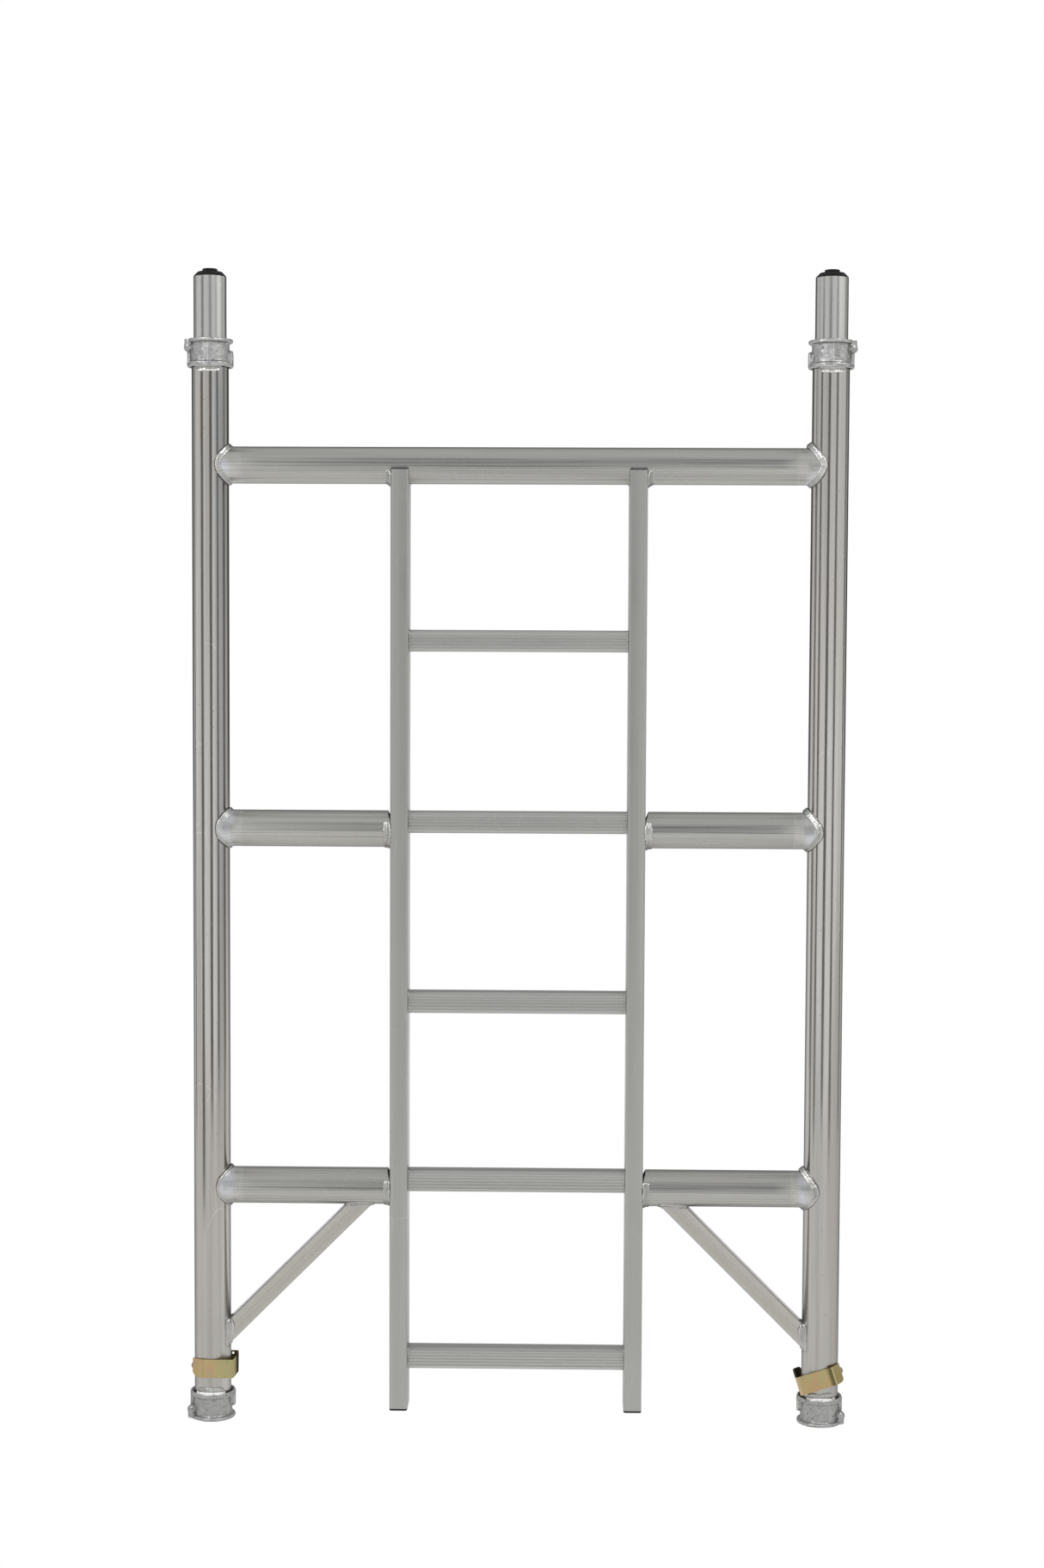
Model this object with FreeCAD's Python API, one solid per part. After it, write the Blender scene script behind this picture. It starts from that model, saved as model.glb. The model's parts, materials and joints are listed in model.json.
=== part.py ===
"""Ladder end frame for an aluminium scaffold tower (three ledgers, 850 x 1500 mm).

Axes: origin midway between the two standards at the level of the foot
collars' bottom faces; +X to the right across the frame, -Y is the side the
ladder faces, +Z up.  All lengths in millimetres.

Paired pieces are modelled on the right (+X) and mirrored unless noted.
"""
import FreeCAD, Part
import math, os
from FreeCAD import Placement, Rotation, Vector

X, Y, Z = Vector(1, 0, 0), Vector(0, 1, 0), Vector(0, 0, 1)

# ---------------------------------------------------------- frame dimensions
HALF_WIDTH = 425.0        # standard axis to frame centre (850 mm frame)
MODULE = 1500.0           # foot face to top collar face
TUBE_R = 50.8 / 2         # standards and ledgers
TUBE_WALL = 2.5
TUBE_BORE_R = TUBE_R - TUBE_WALL
LEDGER_PITCH = 500.0
TOP_LEDGER_Z = 1329.0
MID_LEDGER_Z = TOP_LEDGER_Z - LEDGER_PITCH
LOW_LEDGER_Z = MID_LEDGER_Z - LEDGER_PITCH
GAP = 0.1                 # fit-up gap at coped and welded joints
FIT = 0.02                # hairline clearance of weld beads and clip parts
PIN_Z = 71.5              # clip pin above a module's foot face
LOCK_HOLE_R = 4.7

COLLAR_H = 38.5
SOCKET_DEPTH = 6.0        # counterbore in the collar that the standard sits in
STANDARD_BOTTOM = COLLAR_H - SOCKET_DEPTH
STANDARD_TOP = MODULE - COLLAR_H + SOCKET_DEPTH

STILE_C = 163.0           # stile centre from frame centre
STILE_W = 25.0
STILE_D = 50.0
STILE_WALL = 2.0
STILE_FRONT = -27.0
STILE_BOTTOM = 20.0
STILE_TOP = 1324.0
STILE_CORNER_R = 3.0
STILE_BORE_CORNER_R = 1.2
STILE_IN = STILE_C - STILE_W / 2
STILE_OUT = STILE_C + STILE_W / 2
LADDER_Y = STILE_FRONT + STILE_D / 2      # mid-depth of stiles and rungs


# ------------------------------------------------------------- shape helpers
def cylinder(radius, length, base, axis=Z):
    return Part.makeCylinder(radius, length, base, axis)


def tube(outer_r, inner_r, length, base, axis=Z):
    bore = cylinder(inner_r, length + 2, base - axis * 1.0, axis)
    return cylinder(outer_r, length, base, axis).cut(bore)


def box(x0, y0, z0, x1, y1, z1):
    """Box between two opposite corners."""
    return Part.makeBox(x1 - x0, y1 - y0, z1 - z0, Vector(x0, y0, z0))


def polygon_face(points):
    return Part.Face(Part.makePolygon(points + points[:1]))


def turned(profile, axis_x=0.0):
    """Revolve (radius, z) points about the vertical axis at axis_x."""
    face = polygon_face([Vector(axis_x + r, 0, z) for r, z in profile])
    return face.revolve(Vector(axis_x, 0, 0), Z, 360)


def bar(width, depth, corner_r, length):
    """Bar of rounded rectangular section centred on local Z, rising from z = 0."""
    arcs = []
    for turn, (sx, sy) in enumerate([(1, -1), (1, 1), (-1, 1), (-1, -1)]):
        centre = Vector(sx * (width / 2 - corner_r), sy * (depth / 2 - corner_r), 0)
        angles = [math.radians(90 * turn + a) for a in (-90, -45, 0)]
        arcs.append([centre + Vector(math.cos(a), math.sin(a), 0) * corner_r for a in angles])
    edges = []
    for i, (start, middle, end) in enumerate(arcs):
        edges.append(Part.makeLine(arcs[i - 1][2], start))
        edges.append(Part.Arc(start, middle, end).toShape())
    return Part.Face(Part.Wire(edges)).extrude(Vector(0, 0, length))


def mirror(shape):
    """Copy on the other side of the frame."""
    return shape.mirror(Vector(0, 0, 0), X)


def single(shape):
    """Unwrap a compound that holds just one solid."""
    if shape.ShapeType == "Compound" and len(shape.Solids) == 1:
        return shape.Solids[0]
    return shape


def largest(shape):
    return max(shape.Solids, key=lambda solid: solid.Volume)


def without_slivers(solids):
    return [solid for solid in solids if solid.Volume > 5]


pieces = {}


def add_pair(name, right):
    """Store a right-hand piece and its mirror copy; {} in the name is the side."""
    pieces[name.format("right")] = right
    pieces[name.format("left")] = mirror(right)


def add_welds(name, beads):
    """Store right-hand beads and their mirror copies as one piece."""
    solids = []
    for bead in beads:
        for shape in (bead, mirror(bead)):
            solids += [solid for solid in shape.Solids if solid.Volume > 1.0]
    pieces[name] = Part.Compound(solids)


# ----------------------------------------------------- standards and spigots
SPIGOT_R = 22.5
SPIGOT_BORE_R = SPIGOT_R - 2.5
SPIGOT_HELD_R = 22.8      # held length, close fit in the standard and the top collar
SPIGOT_TOP = 1585.0
SPIGOT_DEPTH = 110.0      # length held inside the standard
PLUG_DEPTH = 14.0


def lock_hole(side, start, length, z):
    """Cutter through the outer wall; start is measured from the standard's axis."""
    base = Vector(side * (HALF_WIDTH + start), 0, z)
    return cylinder(LOCK_HOLE_R, length, base, Vector(side, 0, 0))


def standard(side):
    base = Vector(side * HALF_WIDTH, 0, STANDARD_BOTTOM)
    pipe = tube(TUBE_R, TUBE_BORE_R, STANDARD_TOP - STANDARD_BOTTOM, base)
    return pipe.cut(lock_hole(side, TUBE_R - 6, 10, PIN_Z))


def standard_envelope(side):
    """Cutter that copes a ledger to fit round the standard."""
    base = Vector(side * HALF_WIDTH, 0, STANDARD_BOTTOM)
    return cylinder(TUBE_R + GAP, STANDARD_TOP - STANDARD_BOTTOM, base)


def spigot(side):
    """Free length above the collar face, slightly fuller where it is held."""
    bottom = STANDARD_TOP - SPIGOT_DEPTH
    centre = Vector(side * HALF_WIDTH, 0, 0)
    free = cylinder(SPIGOT_R, SPIGOT_TOP - MODULE, centre + Z * MODULE)
    held = cylinder(SPIGOT_HELD_R, MODULE - bottom, centre + Z * bottom)
    bore = cylinder(SPIGOT_BORE_R, SPIGOT_TOP - bottom + 2, centre + Z * (bottom - 1))
    return free.fuse(held).cut(bore).cut(lock_hole(side, 16, 12, MODULE + PIN_Z))


def spigot_plug(side):
    """Stepped cap with its body inside the spigot's bore."""
    body_r = SPIGOT_BORE_R - 0.1
    # (radius, height above the spigot's end)
    profile = [
        (0, -PLUG_DEPTH), (body_r, -PLUG_DEPTH), (body_r, 0), (22.1, 0), (22.1, 0.8),
        (16.4, 6.5), (10.5, 6.5), (10.5, 10.1), (9.8, 10.8), (0, 10.8),
    ]
    return turned([(r, SPIGOT_TOP + z) for r, z in profile], side * HALF_WIDTH)


for side_name, side in (("left", -1), ("right", 1)):
    pieces[side_name + "_standard"] = standard(side)
    pieces[side_name + "_spigot"] = spigot(side)
    pieces[side_name + "_spigot_plug"] = spigot_plug(side)


# ------------------------------------------------------------------- collars
FLANGE_R = 31.3
BODY_R = 26.6
FOOT_BORE_R = 22.65       # socket for the spigot of the frame below
TOP_BORE_R = 22.9         # passes the spigot's held length
SOCKET_R = 26.0
MATING_FLANGE_T = 4.8
SOCKET_FLANGE_T = 6.5     # flange round the standard
BOSS_X = 29.7             # boss centre before it is turned forward
BOSS_Z = 12.0
BOSS_R = 5.8
BOSS_DOME_R = 6.8
BOSS_TURN = 20.0          # degrees forward of the outer side
EAR_X = -31.2             # inner face of the ear
EAR_ARCH_Z = 23.5         # centre of its arched lower edge
EAR_R = 8.0
CHANNEL_R = 3.6


def collar_boss():
    """Domed boss on the outer front, its foot merged into the mating flange."""
    boss = Part.makeSphere(BOSS_DOME_R, Vector(BOSS_X, 0, BOSS_Z))
    boss = boss.fuse([
        cylinder(BOSS_R, BOSS_Z - 0.6, Vector(BOSS_X, 0, 0.6)),
        cylinder(BOSS_R, 14.4, Vector(BOSS_X - 14.4, 0, BOSS_Z), X),
    ])
    boss.rotate(Vector(0, 0, 0), Z, -BOSS_TURN)
    return boss


def collar_ear():
    """Arched ear on the inner side, a ridge round a shallow channel."""
    root_x = -18
    ear = box(EAR_X, -EAR_R, EAR_ARCH_Z, root_x, EAR_R, COLLAR_H - 3)
    ear = ear.fuse(cylinder(EAR_R, root_x - EAR_X, Vector(EAR_X, 0, EAR_ARCH_Z), X))
    ear = ear.cut(box(-40, -CHANNEL_R, EAR_ARCH_Z, -28.4, CHANNEL_R, COLLAR_H - 9))
    return ear.cut(cylinder(CHANNEL_R, 11.6, Vector(-40, 0, EAR_ARCH_Z), X))


def collar(bore_r):
    """Foot orientation: mating face at z=0, standard socket on top, outer side +X."""
    upper = COLLAR_H - SOCKET_FLANGE_T     # underside of the socket flange
    # (radius, z): mating flange, body, socket flange, socket
    profile = [
        (bore_r, 0), (FLANGE_R - 1.6, 0), (FLANGE_R - 0.45, 0.5), (FLANGE_R, 1.6),
        (FLANGE_R, MATING_FLANGE_T - 0.8), (FLANGE_R - 0.8, MATING_FLANGE_T),
        (BODY_R + 1.2, MATING_FLANGE_T + 0.6), (BODY_R, MATING_FLANGE_T + 2.2),
        (BODY_R, upper - 2.2), (BODY_R + 1.2, upper - 0.6),
        (FLANGE_R - 0.8, upper), (FLANGE_R, upper + 0.8),
        (FLANGE_R, COLLAR_H - 1.2), (FLANGE_R - 0.4, COLLAR_H - 0.35),
        (FLANGE_R - 1.2, COLLAR_H), (SOCKET_R + 2.4, COLLAR_H), (SOCKET_R, COLLAR_H - 2.4),
        (SOCKET_R, COLLAR_H - SOCKET_DEPTH), (bore_r, COLLAR_H - SOCKET_DEPTH),
    ]
    body = turned(profile)
    core = cylinder(BODY_R - 1.0, COLLAR_H + 4, Vector(0, 0, -2))
    gusset = box(18, -3.2, 12, 31.6, 3.2, COLLAR_H - 3)
    outside = collar_boss().fuse([gusset, collar_ear()]).cut(core)
    return single(body.fuse(outside).removeSplitter())


foot_collar = collar(FOOT_BORE_R)
foot_collar.translate(Vector(HALF_WIDTH, 0, 0))
add_pair("{}_foot_collar", foot_collar)

# turned upside down about Y, the collar's outer side faces left
top_collar = collar(TOP_BORE_R)
top_collar.rotate(Vector(0, 0, 0), Y, 180)
top_collar.translate(Vector(-HALF_WIDTH, 0, MODULE))
pieces["left_top_collar"] = top_collar
pieces["right_top_collar"] = mirror(top_collar)


# ------------------------------------------------------------------- ledgers
GROOVES = 9               # in each band, one at the front and one at the rear
GROOVE_PITCH = 7.8        # degrees
GROOVE_DEPTH = 0.45
LEDGER_TWIST = 9.5        # degrees; the front band sits slightly below centre
STUB_TOP_GAP = 4.2        # the stub's end face leans back from the stile


def ledger_section():
    """Solid grooved section in the local YZ plane."""
    # (degrees from the groove's centre, radius)
    groove = [(-1.9, TUBE_R), (-0.9, TUBE_R - GROOVE_DEPTH),
              (0.9, TUBE_R - GROOVE_DEPTH), (1.9, TUBE_R)]
    half_band = (GROOVES - 1) * GROOVE_PITCH / 2
    ring = [(band - half_band + i * GROOVE_PITCH + offset, radius)
            for band in (0.0, 180.0) for i in range(GROOVES) for offset, radius in groove]

    def point(degrees, radius):
        angle = math.radians(degrees)
        return Vector(0, radius * math.cos(angle), radius * math.sin(angle))

    edges = []
    for (angle, radius), (next_angle, next_radius) in zip(ring, ring[1:] + ring[:1]):
        if next_angle < angle:
            next_angle += 360
        start, end = point(angle, radius), point(next_angle, next_radius)
        if radius == next_radius == TUBE_R:
            middle = point((angle + next_angle) / 2, TUBE_R)
            edges.append(Part.Arc(start, middle, end).toShape())
        else:
            edges.append(Part.makeLine(start, end))
    return Part.Face(Part.Wire(edges))


def ledger_tube(x0, x1, z):
    ledger = ledger_section().extrude(Vector(x1 - x0, 0, 0))
    ledger.rotate(Vector(0, 0, 0), X, LEDGER_TWIST)
    ledger.translate(Vector(x0, 0, z))
    return ledger.cut(cylinder(TUBE_BORE_R, x1 - x0 + 4, Vector(x0 - 2, 0, z), X))


def top_ledger():
    ledger = ledger_tube(-HALF_WIDTH, HALF_WIDTH, TOP_LEDGER_Z)
    return ledger.cut([standard_envelope(-1), standard_envelope(1)])


def ledger_stub(z):
    """From stile to standard; butts the stile low down and stands off at the top."""
    x0 = STILE_OUT + GAP
    stub = ledger_tube(x0, HALF_WIDTH, z).cut(standard_envelope(1))
    above, knee = z + TUBE_R + 1, z - 8
    wedge = polygon_face([
        Vector(x0 - 1, -40, above), Vector(x0 + STUB_TOP_GAP, -40, above),
        Vector(x0, -40, knee), Vector(x0 - 1, -40, knee),
    ]).extrude(Vector(0, 80, 0))
    return stub.cut(wedge)


pieces["top_ledger"] = top_ledger()
add_pair("mid_ledger_{}", ledger_stub(MID_LEDGER_Z))
add_pair("low_ledger_{}", ledger_stub(LOW_LEDGER_Z))


# --------------------------------------------------------------- knee braces
BRACE_SIZE = 25.0
BRACE_CORNER_R = 2.0
BRACE_WALL = 2.0
BRACE_BORE_CORNER_R = 0.6
BRACE_FOOT = Vector(HALF_WIDTH - TUBE_R, 0, 124.0)   # axis at the standard's inner face
BRACE_OVERRUN = 60.0      # extra length below the foot, coped away
BRACE_BLANK = 420.0


def brace_bar(size, corner_r):
    """Square bar running inward and up at 45 degrees, overlong at both ends."""
    blank = bar(size, size, corner_r, BRACE_BLANK)
    slope = Placement(BRACE_FOOT, Rotation(Z, Vector(-1, 0, 1).normalize()))
    blank.Placement = slope.multiply(Placement(Vector(0, 0, -BRACE_OVERRUN), Rotation()))
    return blank


def brace_envelope(grow=0.0):
    return brace_bar(BRACE_SIZE + 2 * grow, BRACE_CORNER_R + grow)


def knee_brace():
    """Square tube coped to the standard and the underside of the low ledger."""
    core = brace_bar(BRACE_SIZE - 2 * BRACE_WALL, BRACE_BORE_CORNER_R)
    brace = brace_envelope().cut(core)
    brace = brace.cut(cylinder(TUBE_R + GAP, 600, Vector(HALF_WIDTH, 0, 0)))
    brace = brace.cut(cylinder(TUBE_R + GAP, 700, Vector(-100, 0, LOW_LEDGER_Z), X))
    brace = brace.cut(box(100, -60, LOW_LEDGER_Z, 600, 60, 700))
    brace = brace.cut(box(HALF_WIDTH, -60, -100, 700, 60, 700))
    return largest(brace)


add_pair("knee_brace_{}", knee_brace())


# -------------------------------------------------------------------- ladder
RUNG_COUNT = 5
RUNG_PITCH = 250.0
TOP_RUNG_Z = 1089.0
RUNG_Z = [TOP_RUNG_Z - i * RUNG_PITCH for i in range(RUNG_COUNT)]
RUNG_SIZE = 30.0
RUNG_CORNER_R = 6.0
RUNG_WALL = 2.2
RUNG_BORE_CORNER_R = 3.5
RUNG_END = STILE_OUT - STILE_WALL - GAP   # rungs reach the stile's outer wall
RUNG_GROOVE_PITCH = 4.2


def rung_bar(size, corner_r, x0, length, z=0.0):
    """Square bar along +X from x0, at the ladder's mid-depth."""
    # local Z -> X, local X -> Y, local Y -> Z
    lay_down = FreeCAD.Matrix(0, 0, 1, x0, 1, 0, 0, LADDER_Y, 0, 1, 0, z, 0, 0, 0, 1)
    return bar(size, size, corner_r, length).transformed(lay_down)


def rung(z):
    """Square tube with five shallow grooves along its front and rear faces."""
    body = rung_bar(RUNG_SIZE, RUNG_CORNER_R, -RUNG_END, 2 * RUNG_END)
    cutters = [rung_bar(RUNG_SIZE - 2 * RUNG_WALL, RUNG_BORE_CORNER_R,
                        -RUNG_END - 2, 2 * RUNG_END + 4)]
    for i in (-2, -1, 0, 1, 2):
        for side in (-1, 1):
            face_y = LADDER_Y + side * RUNG_SIZE / 2
            groove_z = i * RUNG_GROOVE_PITCH
            cutters.append(box(-RUNG_END - 1, face_y - 0.55, groove_z - 0.7,
                               RUNG_END + 1, face_y + 0.55, groove_z + 0.7))
    body = body.cut(cutters)
    body.translate(Vector(0, 0, z))
    return body


def stile_bar(width, depth, corner_r, z0, length):
    upright = bar(width, depth, corner_r, length)
    upright.translate(Vector(STILE_C, LADDER_Y, z0))
    return upright


def stile_envelope(grow=0.0):
    return stile_bar(STILE_W + 2 * grow, STILE_D + 2 * grow, STILE_CORNER_R + grow,
                     STILE_BOTTOM, STILE_TOP - STILE_BOTTOM)


def stile():
    core = stile_bar(STILE_W - 2 * STILE_WALL, STILE_D - 2 * STILE_WALL, STILE_BORE_CORNER_R,
                     STILE_BOTTOM - 2, STILE_TOP - STILE_BOTTOM + 4)
    body = stile_envelope().cut(core)
    # saddle cope under the top ledger, front wall carried up in front of it
    body = body.cut(cylinder(TUBE_R + GAP, 200, Vector(50, 0, TOP_LEDGER_Z), X))
    body = body.cut(box(50, -TUBE_R, TOP_LEDGER_Z - 12, 300, 40, TOP_LEDGER_Z + 40))
    # rung holes in the inner wall
    body = body.cut([rung_bar(RUNG_SIZE + 2 * GAP, RUNG_CORNER_R + GAP,
                              STILE_IN - 5, STILE_WALL + 8, z) for z in RUNG_Z])
    return largest(body)


def stile_foot_plug():
    flange_t = 2.5
    flange = stile_bar(STILE_W - 0.4, STILE_D - 0.4, STILE_CORNER_R,
                       STILE_BOTTOM - flange_t, flange_t)
    body = stile_bar(STILE_W - 2 * STILE_WALL - 0.3, STILE_D - 2 * STILE_WALL - 0.3,
                     STILE_BORE_CORNER_R, STILE_BOTTOM, 14)
    return single(flange.fuse(body).removeSplitter())


for i, z in enumerate(RUNG_Z):
    pieces["ladder_rung_%d" % (i + 1)] = rung(z)
add_pair("ladder_stile_{}", stile())
add_pair("stile_foot_plug_{}", stile_foot_plug())


# --------------------------------------------------------------------- welds
WELD_BORE_R = TUBE_R + FIT
LEDGER_WELD = 4.2         # bead sizes, measured out from the welded surface
STUB_WELD = 3.2
STILE_TOP_WELD = 3.6
BRACE_WELD = 3.6
BRACE_WELD_REACH = 4.5    # along the brace, from the tube it meets
RUNG_WELD_R = 2.6
# (direction of the side: -1 front, 1 rear; bead size; z range)
COLLAR_WELDS = [
    (-1, 3.6, COLLAR_H + FIT, COLLAR_H + 4.5),
    (-1, 3.6, MODULE - COLLAR_H - 6.5, MODULE - COLLAR_H - FIT),
    (1, 2.8, COLLAR_H + FIT, COLLAR_H + 2.6),
    (1, 2.8, MODULE - COLLAR_H - 6.5, MODULE - COLLAR_H - FIT),
]


def ledger_bead(z):
    """Fillet bead where a ledger meets the standard."""
    outer_r = TUBE_R + LEDGER_WELD
    bead = cylinder(outer_r, 34, Vector(HALF_WIDTH - 34, 0, z), X)
    bead = bead.common(cylinder(outer_r, 80, Vector(HALF_WIDTH, 0, z - 40)))
    bead = bead.cut([cylinder(WELD_BORE_R, 80, Vector(HALF_WIDTH - 60, 0, z), X),
                     cylinder(WELD_BORE_R, 100, Vector(HALF_WIDTH, 0, z - 50))])
    return Part.Compound(without_slivers(bead.Solids))


def stub_bead(z):
    """Bead round the lower part of a stub's end, within the stile's depth."""
    x = STILE_OUT + FIT
    bead = tube(TUBE_R + STUB_WELD, WELD_BORE_R, 3.0, Vector(x, 0, z), X)
    bead = bead.cut(box(x - 5, -60, z + 4, x + 10, 60, z + 60))
    return bead.common(box(x - 5, STILE_FRONT, z - 60, x + 10, STILE_FRONT + STILE_D, z + 60))


def stile_top_bead():
    """Beads either side of the stile where it saddles the top ledger."""
    z = TOP_LEDGER_Z
    bead = cylinder(TUBE_R + STILE_TOP_WELD, STILE_W + 8, Vector(STILE_IN - 4, 0, z), X)
    bead = bead.cut(cylinder(WELD_BORE_R, STILE_W + 40, Vector(STILE_IN - 20, 0, z), X))
    bead = bead.common(box(100, -24, z - 60, 220, 20, z - 12))
    return bead.cut(stile_envelope(FIT))


def collar_bead(side, size, z0, z1):
    """Arc of weld between collar and standard, front or rear."""
    bead = tube(TUBE_R + size, WELD_BORE_R, z1 - z0, Vector(HALF_WIDTH, 0, z0))
    return bead.common(box(HALF_WIDTH - 19, min(0, side * 60), z0 - 1,
                           HALF_WIDTH + 19, max(0, side * 60), z1 + 1))


def brace_beads():
    """Beads round both ends of the brace."""
    ring = brace_envelope(BRACE_WELD).cut(brace_envelope(FIT))
    reach_r = TUBE_R + BRACE_WELD_REACH
    lower = ring.common(cylinder(reach_r, 300, Vector(HALF_WIDTH, 0, 0)))
    lower = lower.cut(cylinder(WELD_BORE_R, 400, Vector(HALF_WIDTH, 0, 0)))
    lower = lower.cut(box(HALF_WIDTH, -60, -100, 700, 60, 700))
    upper = ring.common(cylinder(reach_r, 400, Vector(100, 0, LOW_LEDGER_Z), X))
    upper = upper.cut(cylinder(WELD_BORE_R, 500, Vector(60, 0, LOW_LEDGER_Z), X))
    upper = upper.cut(box(60, -60, LOW_LEDGER_Z, 600, 60, 700))
    return Part.Compound(without_slivers(lower.Solids + upper.Solids))


def rung_beads(z):
    """Dabs of weld at a rung's four corners, on the stile's inner face."""
    face_x = STILE_IN - FIT
    inset = RUNG_SIZE / 2 - 1.6
    solids = []
    for sy in (-1, 1):
        for sz in (-1, 1):
            centre = Vector(face_x, LADDER_Y + sy * inset, z + sz * inset)
            bead = Part.makeSphere(RUNG_WELD_R, centre)
            bead = bead.common(box(STILE_IN - 10, -60, z - 60, face_x, 60, z + 60))
            bead = bead.cut(rung_bar(RUNG_SIZE + 2 * FIT, RUNG_CORNER_R + FIT,
                                     STILE_IN - 20, 30, z))
            solids += bead.Solids
    return Part.Compound(solids)


add_welds("ledger_welds", [ledger_bead(z) for z in (TOP_LEDGER_Z, MID_LEDGER_Z, LOW_LEDGER_Z)])
add_welds("stub_welds", [stub_bead(z) for z in (MID_LEDGER_Z, LOW_LEDGER_Z)])
add_welds("stile_top_welds", [stile_top_bead()])
add_welds("collar_welds", [collar_bead(*weld) for weld in COLLAR_WELDS])
add_welds("brace_welds", [brace_beads()])
add_welds("rung_welds", [rung_beads(z) for z in RUNG_Z])


# ----------------------------------------------------------- interlock clips
# Modelled for the right-hand standard with its axis at x = 0: inner side -X,
# front -Y, pin on +X at z = 0.
STRAP_H = 25.3
STRAP_T = 1.5
STRAP_FRONT = 28.0 + STRAP_T / 2      # strap centreline, front and rear
EAR_H = 4.0 - STRAP_H / 2 + STRAP_H / 2   # height of the ear above the upper edge
PIN_R = 3.2
PIN_HEAD_R = 4.4
HINGE = Vector(HALF_WIDTH + TUBE_R - TUBE_WALL / 2, 0, PIN_Z)
ARC_STEP = 9.0            # degrees per facet at the strap's bends
# (y, z) of the waste above the rounded end that carries the pin
END_WASTE = [(12, 20), (-12, 20), (-11.5, 12.7), (-4.5, 8.4), (5.0, 8.0), (9.2, 4.5), (12, 4.5)]


def offset_path(points, distance):
    """Offset an open polyline to its left, with mitred corners."""
    normals = [Vector(start.y - end.y, end.x - start.x, 0).normalize()
               for start, end in zip(points, points[1:])]
    result = []
    for point, before, after in zip(points, normals[:1] + normals, normals + normals[-1:]):
        result.append(point + (before + after) * (distance / (1 + before.dot(after))))
    return result


def round_corners(points, radii):
    """Replace a polyline's inner corners by faceted arcs."""
    path = [points[0]]
    for before, corner, after, radius in zip(points, points[1:], points[2:], radii):
        backward = (before - corner).normalize()
        forward = (after - corner).normalize()
        half_angle = backward.getAngle(forward) / 2
        tangent = radius / math.tan(half_angle)
        centre = corner + (backward + forward).normalize() * (radius / math.sin(half_angle))
        start = corner + backward * tangent - centre
        end = corner + forward * tangent - centre
        first = math.atan2(start.y, start.x)
        sweep = math.remainder(math.atan2(end.y, end.x) - first, 2 * math.pi)
        steps = max(2, int(abs(math.degrees(sweep)) / ARC_STEP + 0.5))
        for i in range(steps + 1):
            angle = first + sweep * i / steps
            path.append(centre + Vector(math.cos(angle), math.sin(angle), 0) * radius)
    return path + [points[-1]]


def clip_strap(plate_x, inner_x, creased, ear_hole):
    """Bent strap: pin plate, wing, front, inner return and rear tab."""
    inner = -inner_x - STRAP_T / 2
    if creased:
        wing = [(plate_x, -15.0), (18.6, -30.25), (15.2, -STRAP_FRONT)]
        wing_radii = [6.0, 1.6, 2.4]
    else:
        wing = [(plate_x, -11.0), (12.0, -STRAP_FRONT)]
        wing_radii = [12.0, 16.0]
    corners = [(plate_x, 9.0)] + wing + [
        (inner, -STRAP_FRONT), (inner, STRAP_FRONT), (-17.0, STRAP_FRONT)]
    path = round_corners([Vector(x, y, 0) for x, y in corners], wing_radii + [3.0, 3.0])
    outline = offset_path(path, STRAP_T / 2) + offset_path(path, -STRAP_T / 2)[::-1]
    strap = polygon_face(outline).extrude(Vector(0, 0, STRAP_H + EAR_H))
    strap.translate(Vector(0, 0, -STRAP_H / 2))
    # straight upper edge everywhere except the ear at the inner rear corner
    strap = strap.cut(box(-60, -60, STRAP_H / 2, 60, 12, 40))
    strap = strap.cut(box(-24, 0, STRAP_H / 2, 60, 60, 40))
    if ear_hole:
        base = Vector(inner + 4.4, STRAP_FRONT + 6, STRAP_H / 2 - 0.2)
        strap = strap.cut(cylinder(1.65, 12, base, -Y))
    # narrowed end that carries the pin
    for side in (-1, 1):
        waste = polygon_face([Vector(20, y, side * z) for y, z in END_WASTE])
        strap = strap.cut(waste.extrude(Vector(20, 0, 0)))
    strap = strap.cut(cylinder(PIN_R + FIT, 12, Vector(22, 0, 0), X))
    # small hole in the front, near its inner upper corner
    base = Vector(inner + 8.0, -STRAP_FRONT - 3, STRAP_H / 2 - 2.6)
    return single(strap.cut(cylinder(0.8, 6, base, Y)))


def clip_pin(plate_x, shoulder):
    """Pin with a tapered tip inside the standard and a domed head outside the strap."""
    tip_x = TUBE_BORE_R - 7.0
    tip_length = 2.0
    tip_base = Vector(tip_x, 0, 0)
    pin = cylinder(PIN_R, plate_x + STRAP_T / 2 + 1.0 - tip_x, tip_base, X)
    tip = Part.makeCone(PIN_R - 1.4, PIN_R, tip_length, tip_base, X)
    pin = pin.cut(cylinder(PIN_R + 1, tip_length, tip_base, X)).fuse(tip)
    head_x = plate_x + STRAP_T / 2 + FIT
    head = Part.makeSphere(PIN_HEAD_R, Vector(head_x - 1.6, 0, 0))
    extras = [head.common(box(head_x, -9, -9, head_x + 10, 9, 9))]
    if shoulder:          # ring on the inner face of the strap
        width = 1.2
        base = Vector(plate_x - STRAP_T / 2 - FIT - width, 0, 0)
        extras.append(cylinder(4.3, width, base, X))
    return single(pin.fuse(extras).removeSplitter())


def place_clip(shape, tilt, droop=0.0):
    """Hang on the right standard: tilt raises the front, droop lowers the inner end."""
    shape.translate(Vector(HALF_WIDTH, 0, PIN_Z))
    shape.rotate(HINGE, X, -tilt)
    shape.rotate(HINGE, Y, -droop)
    return shape


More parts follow.
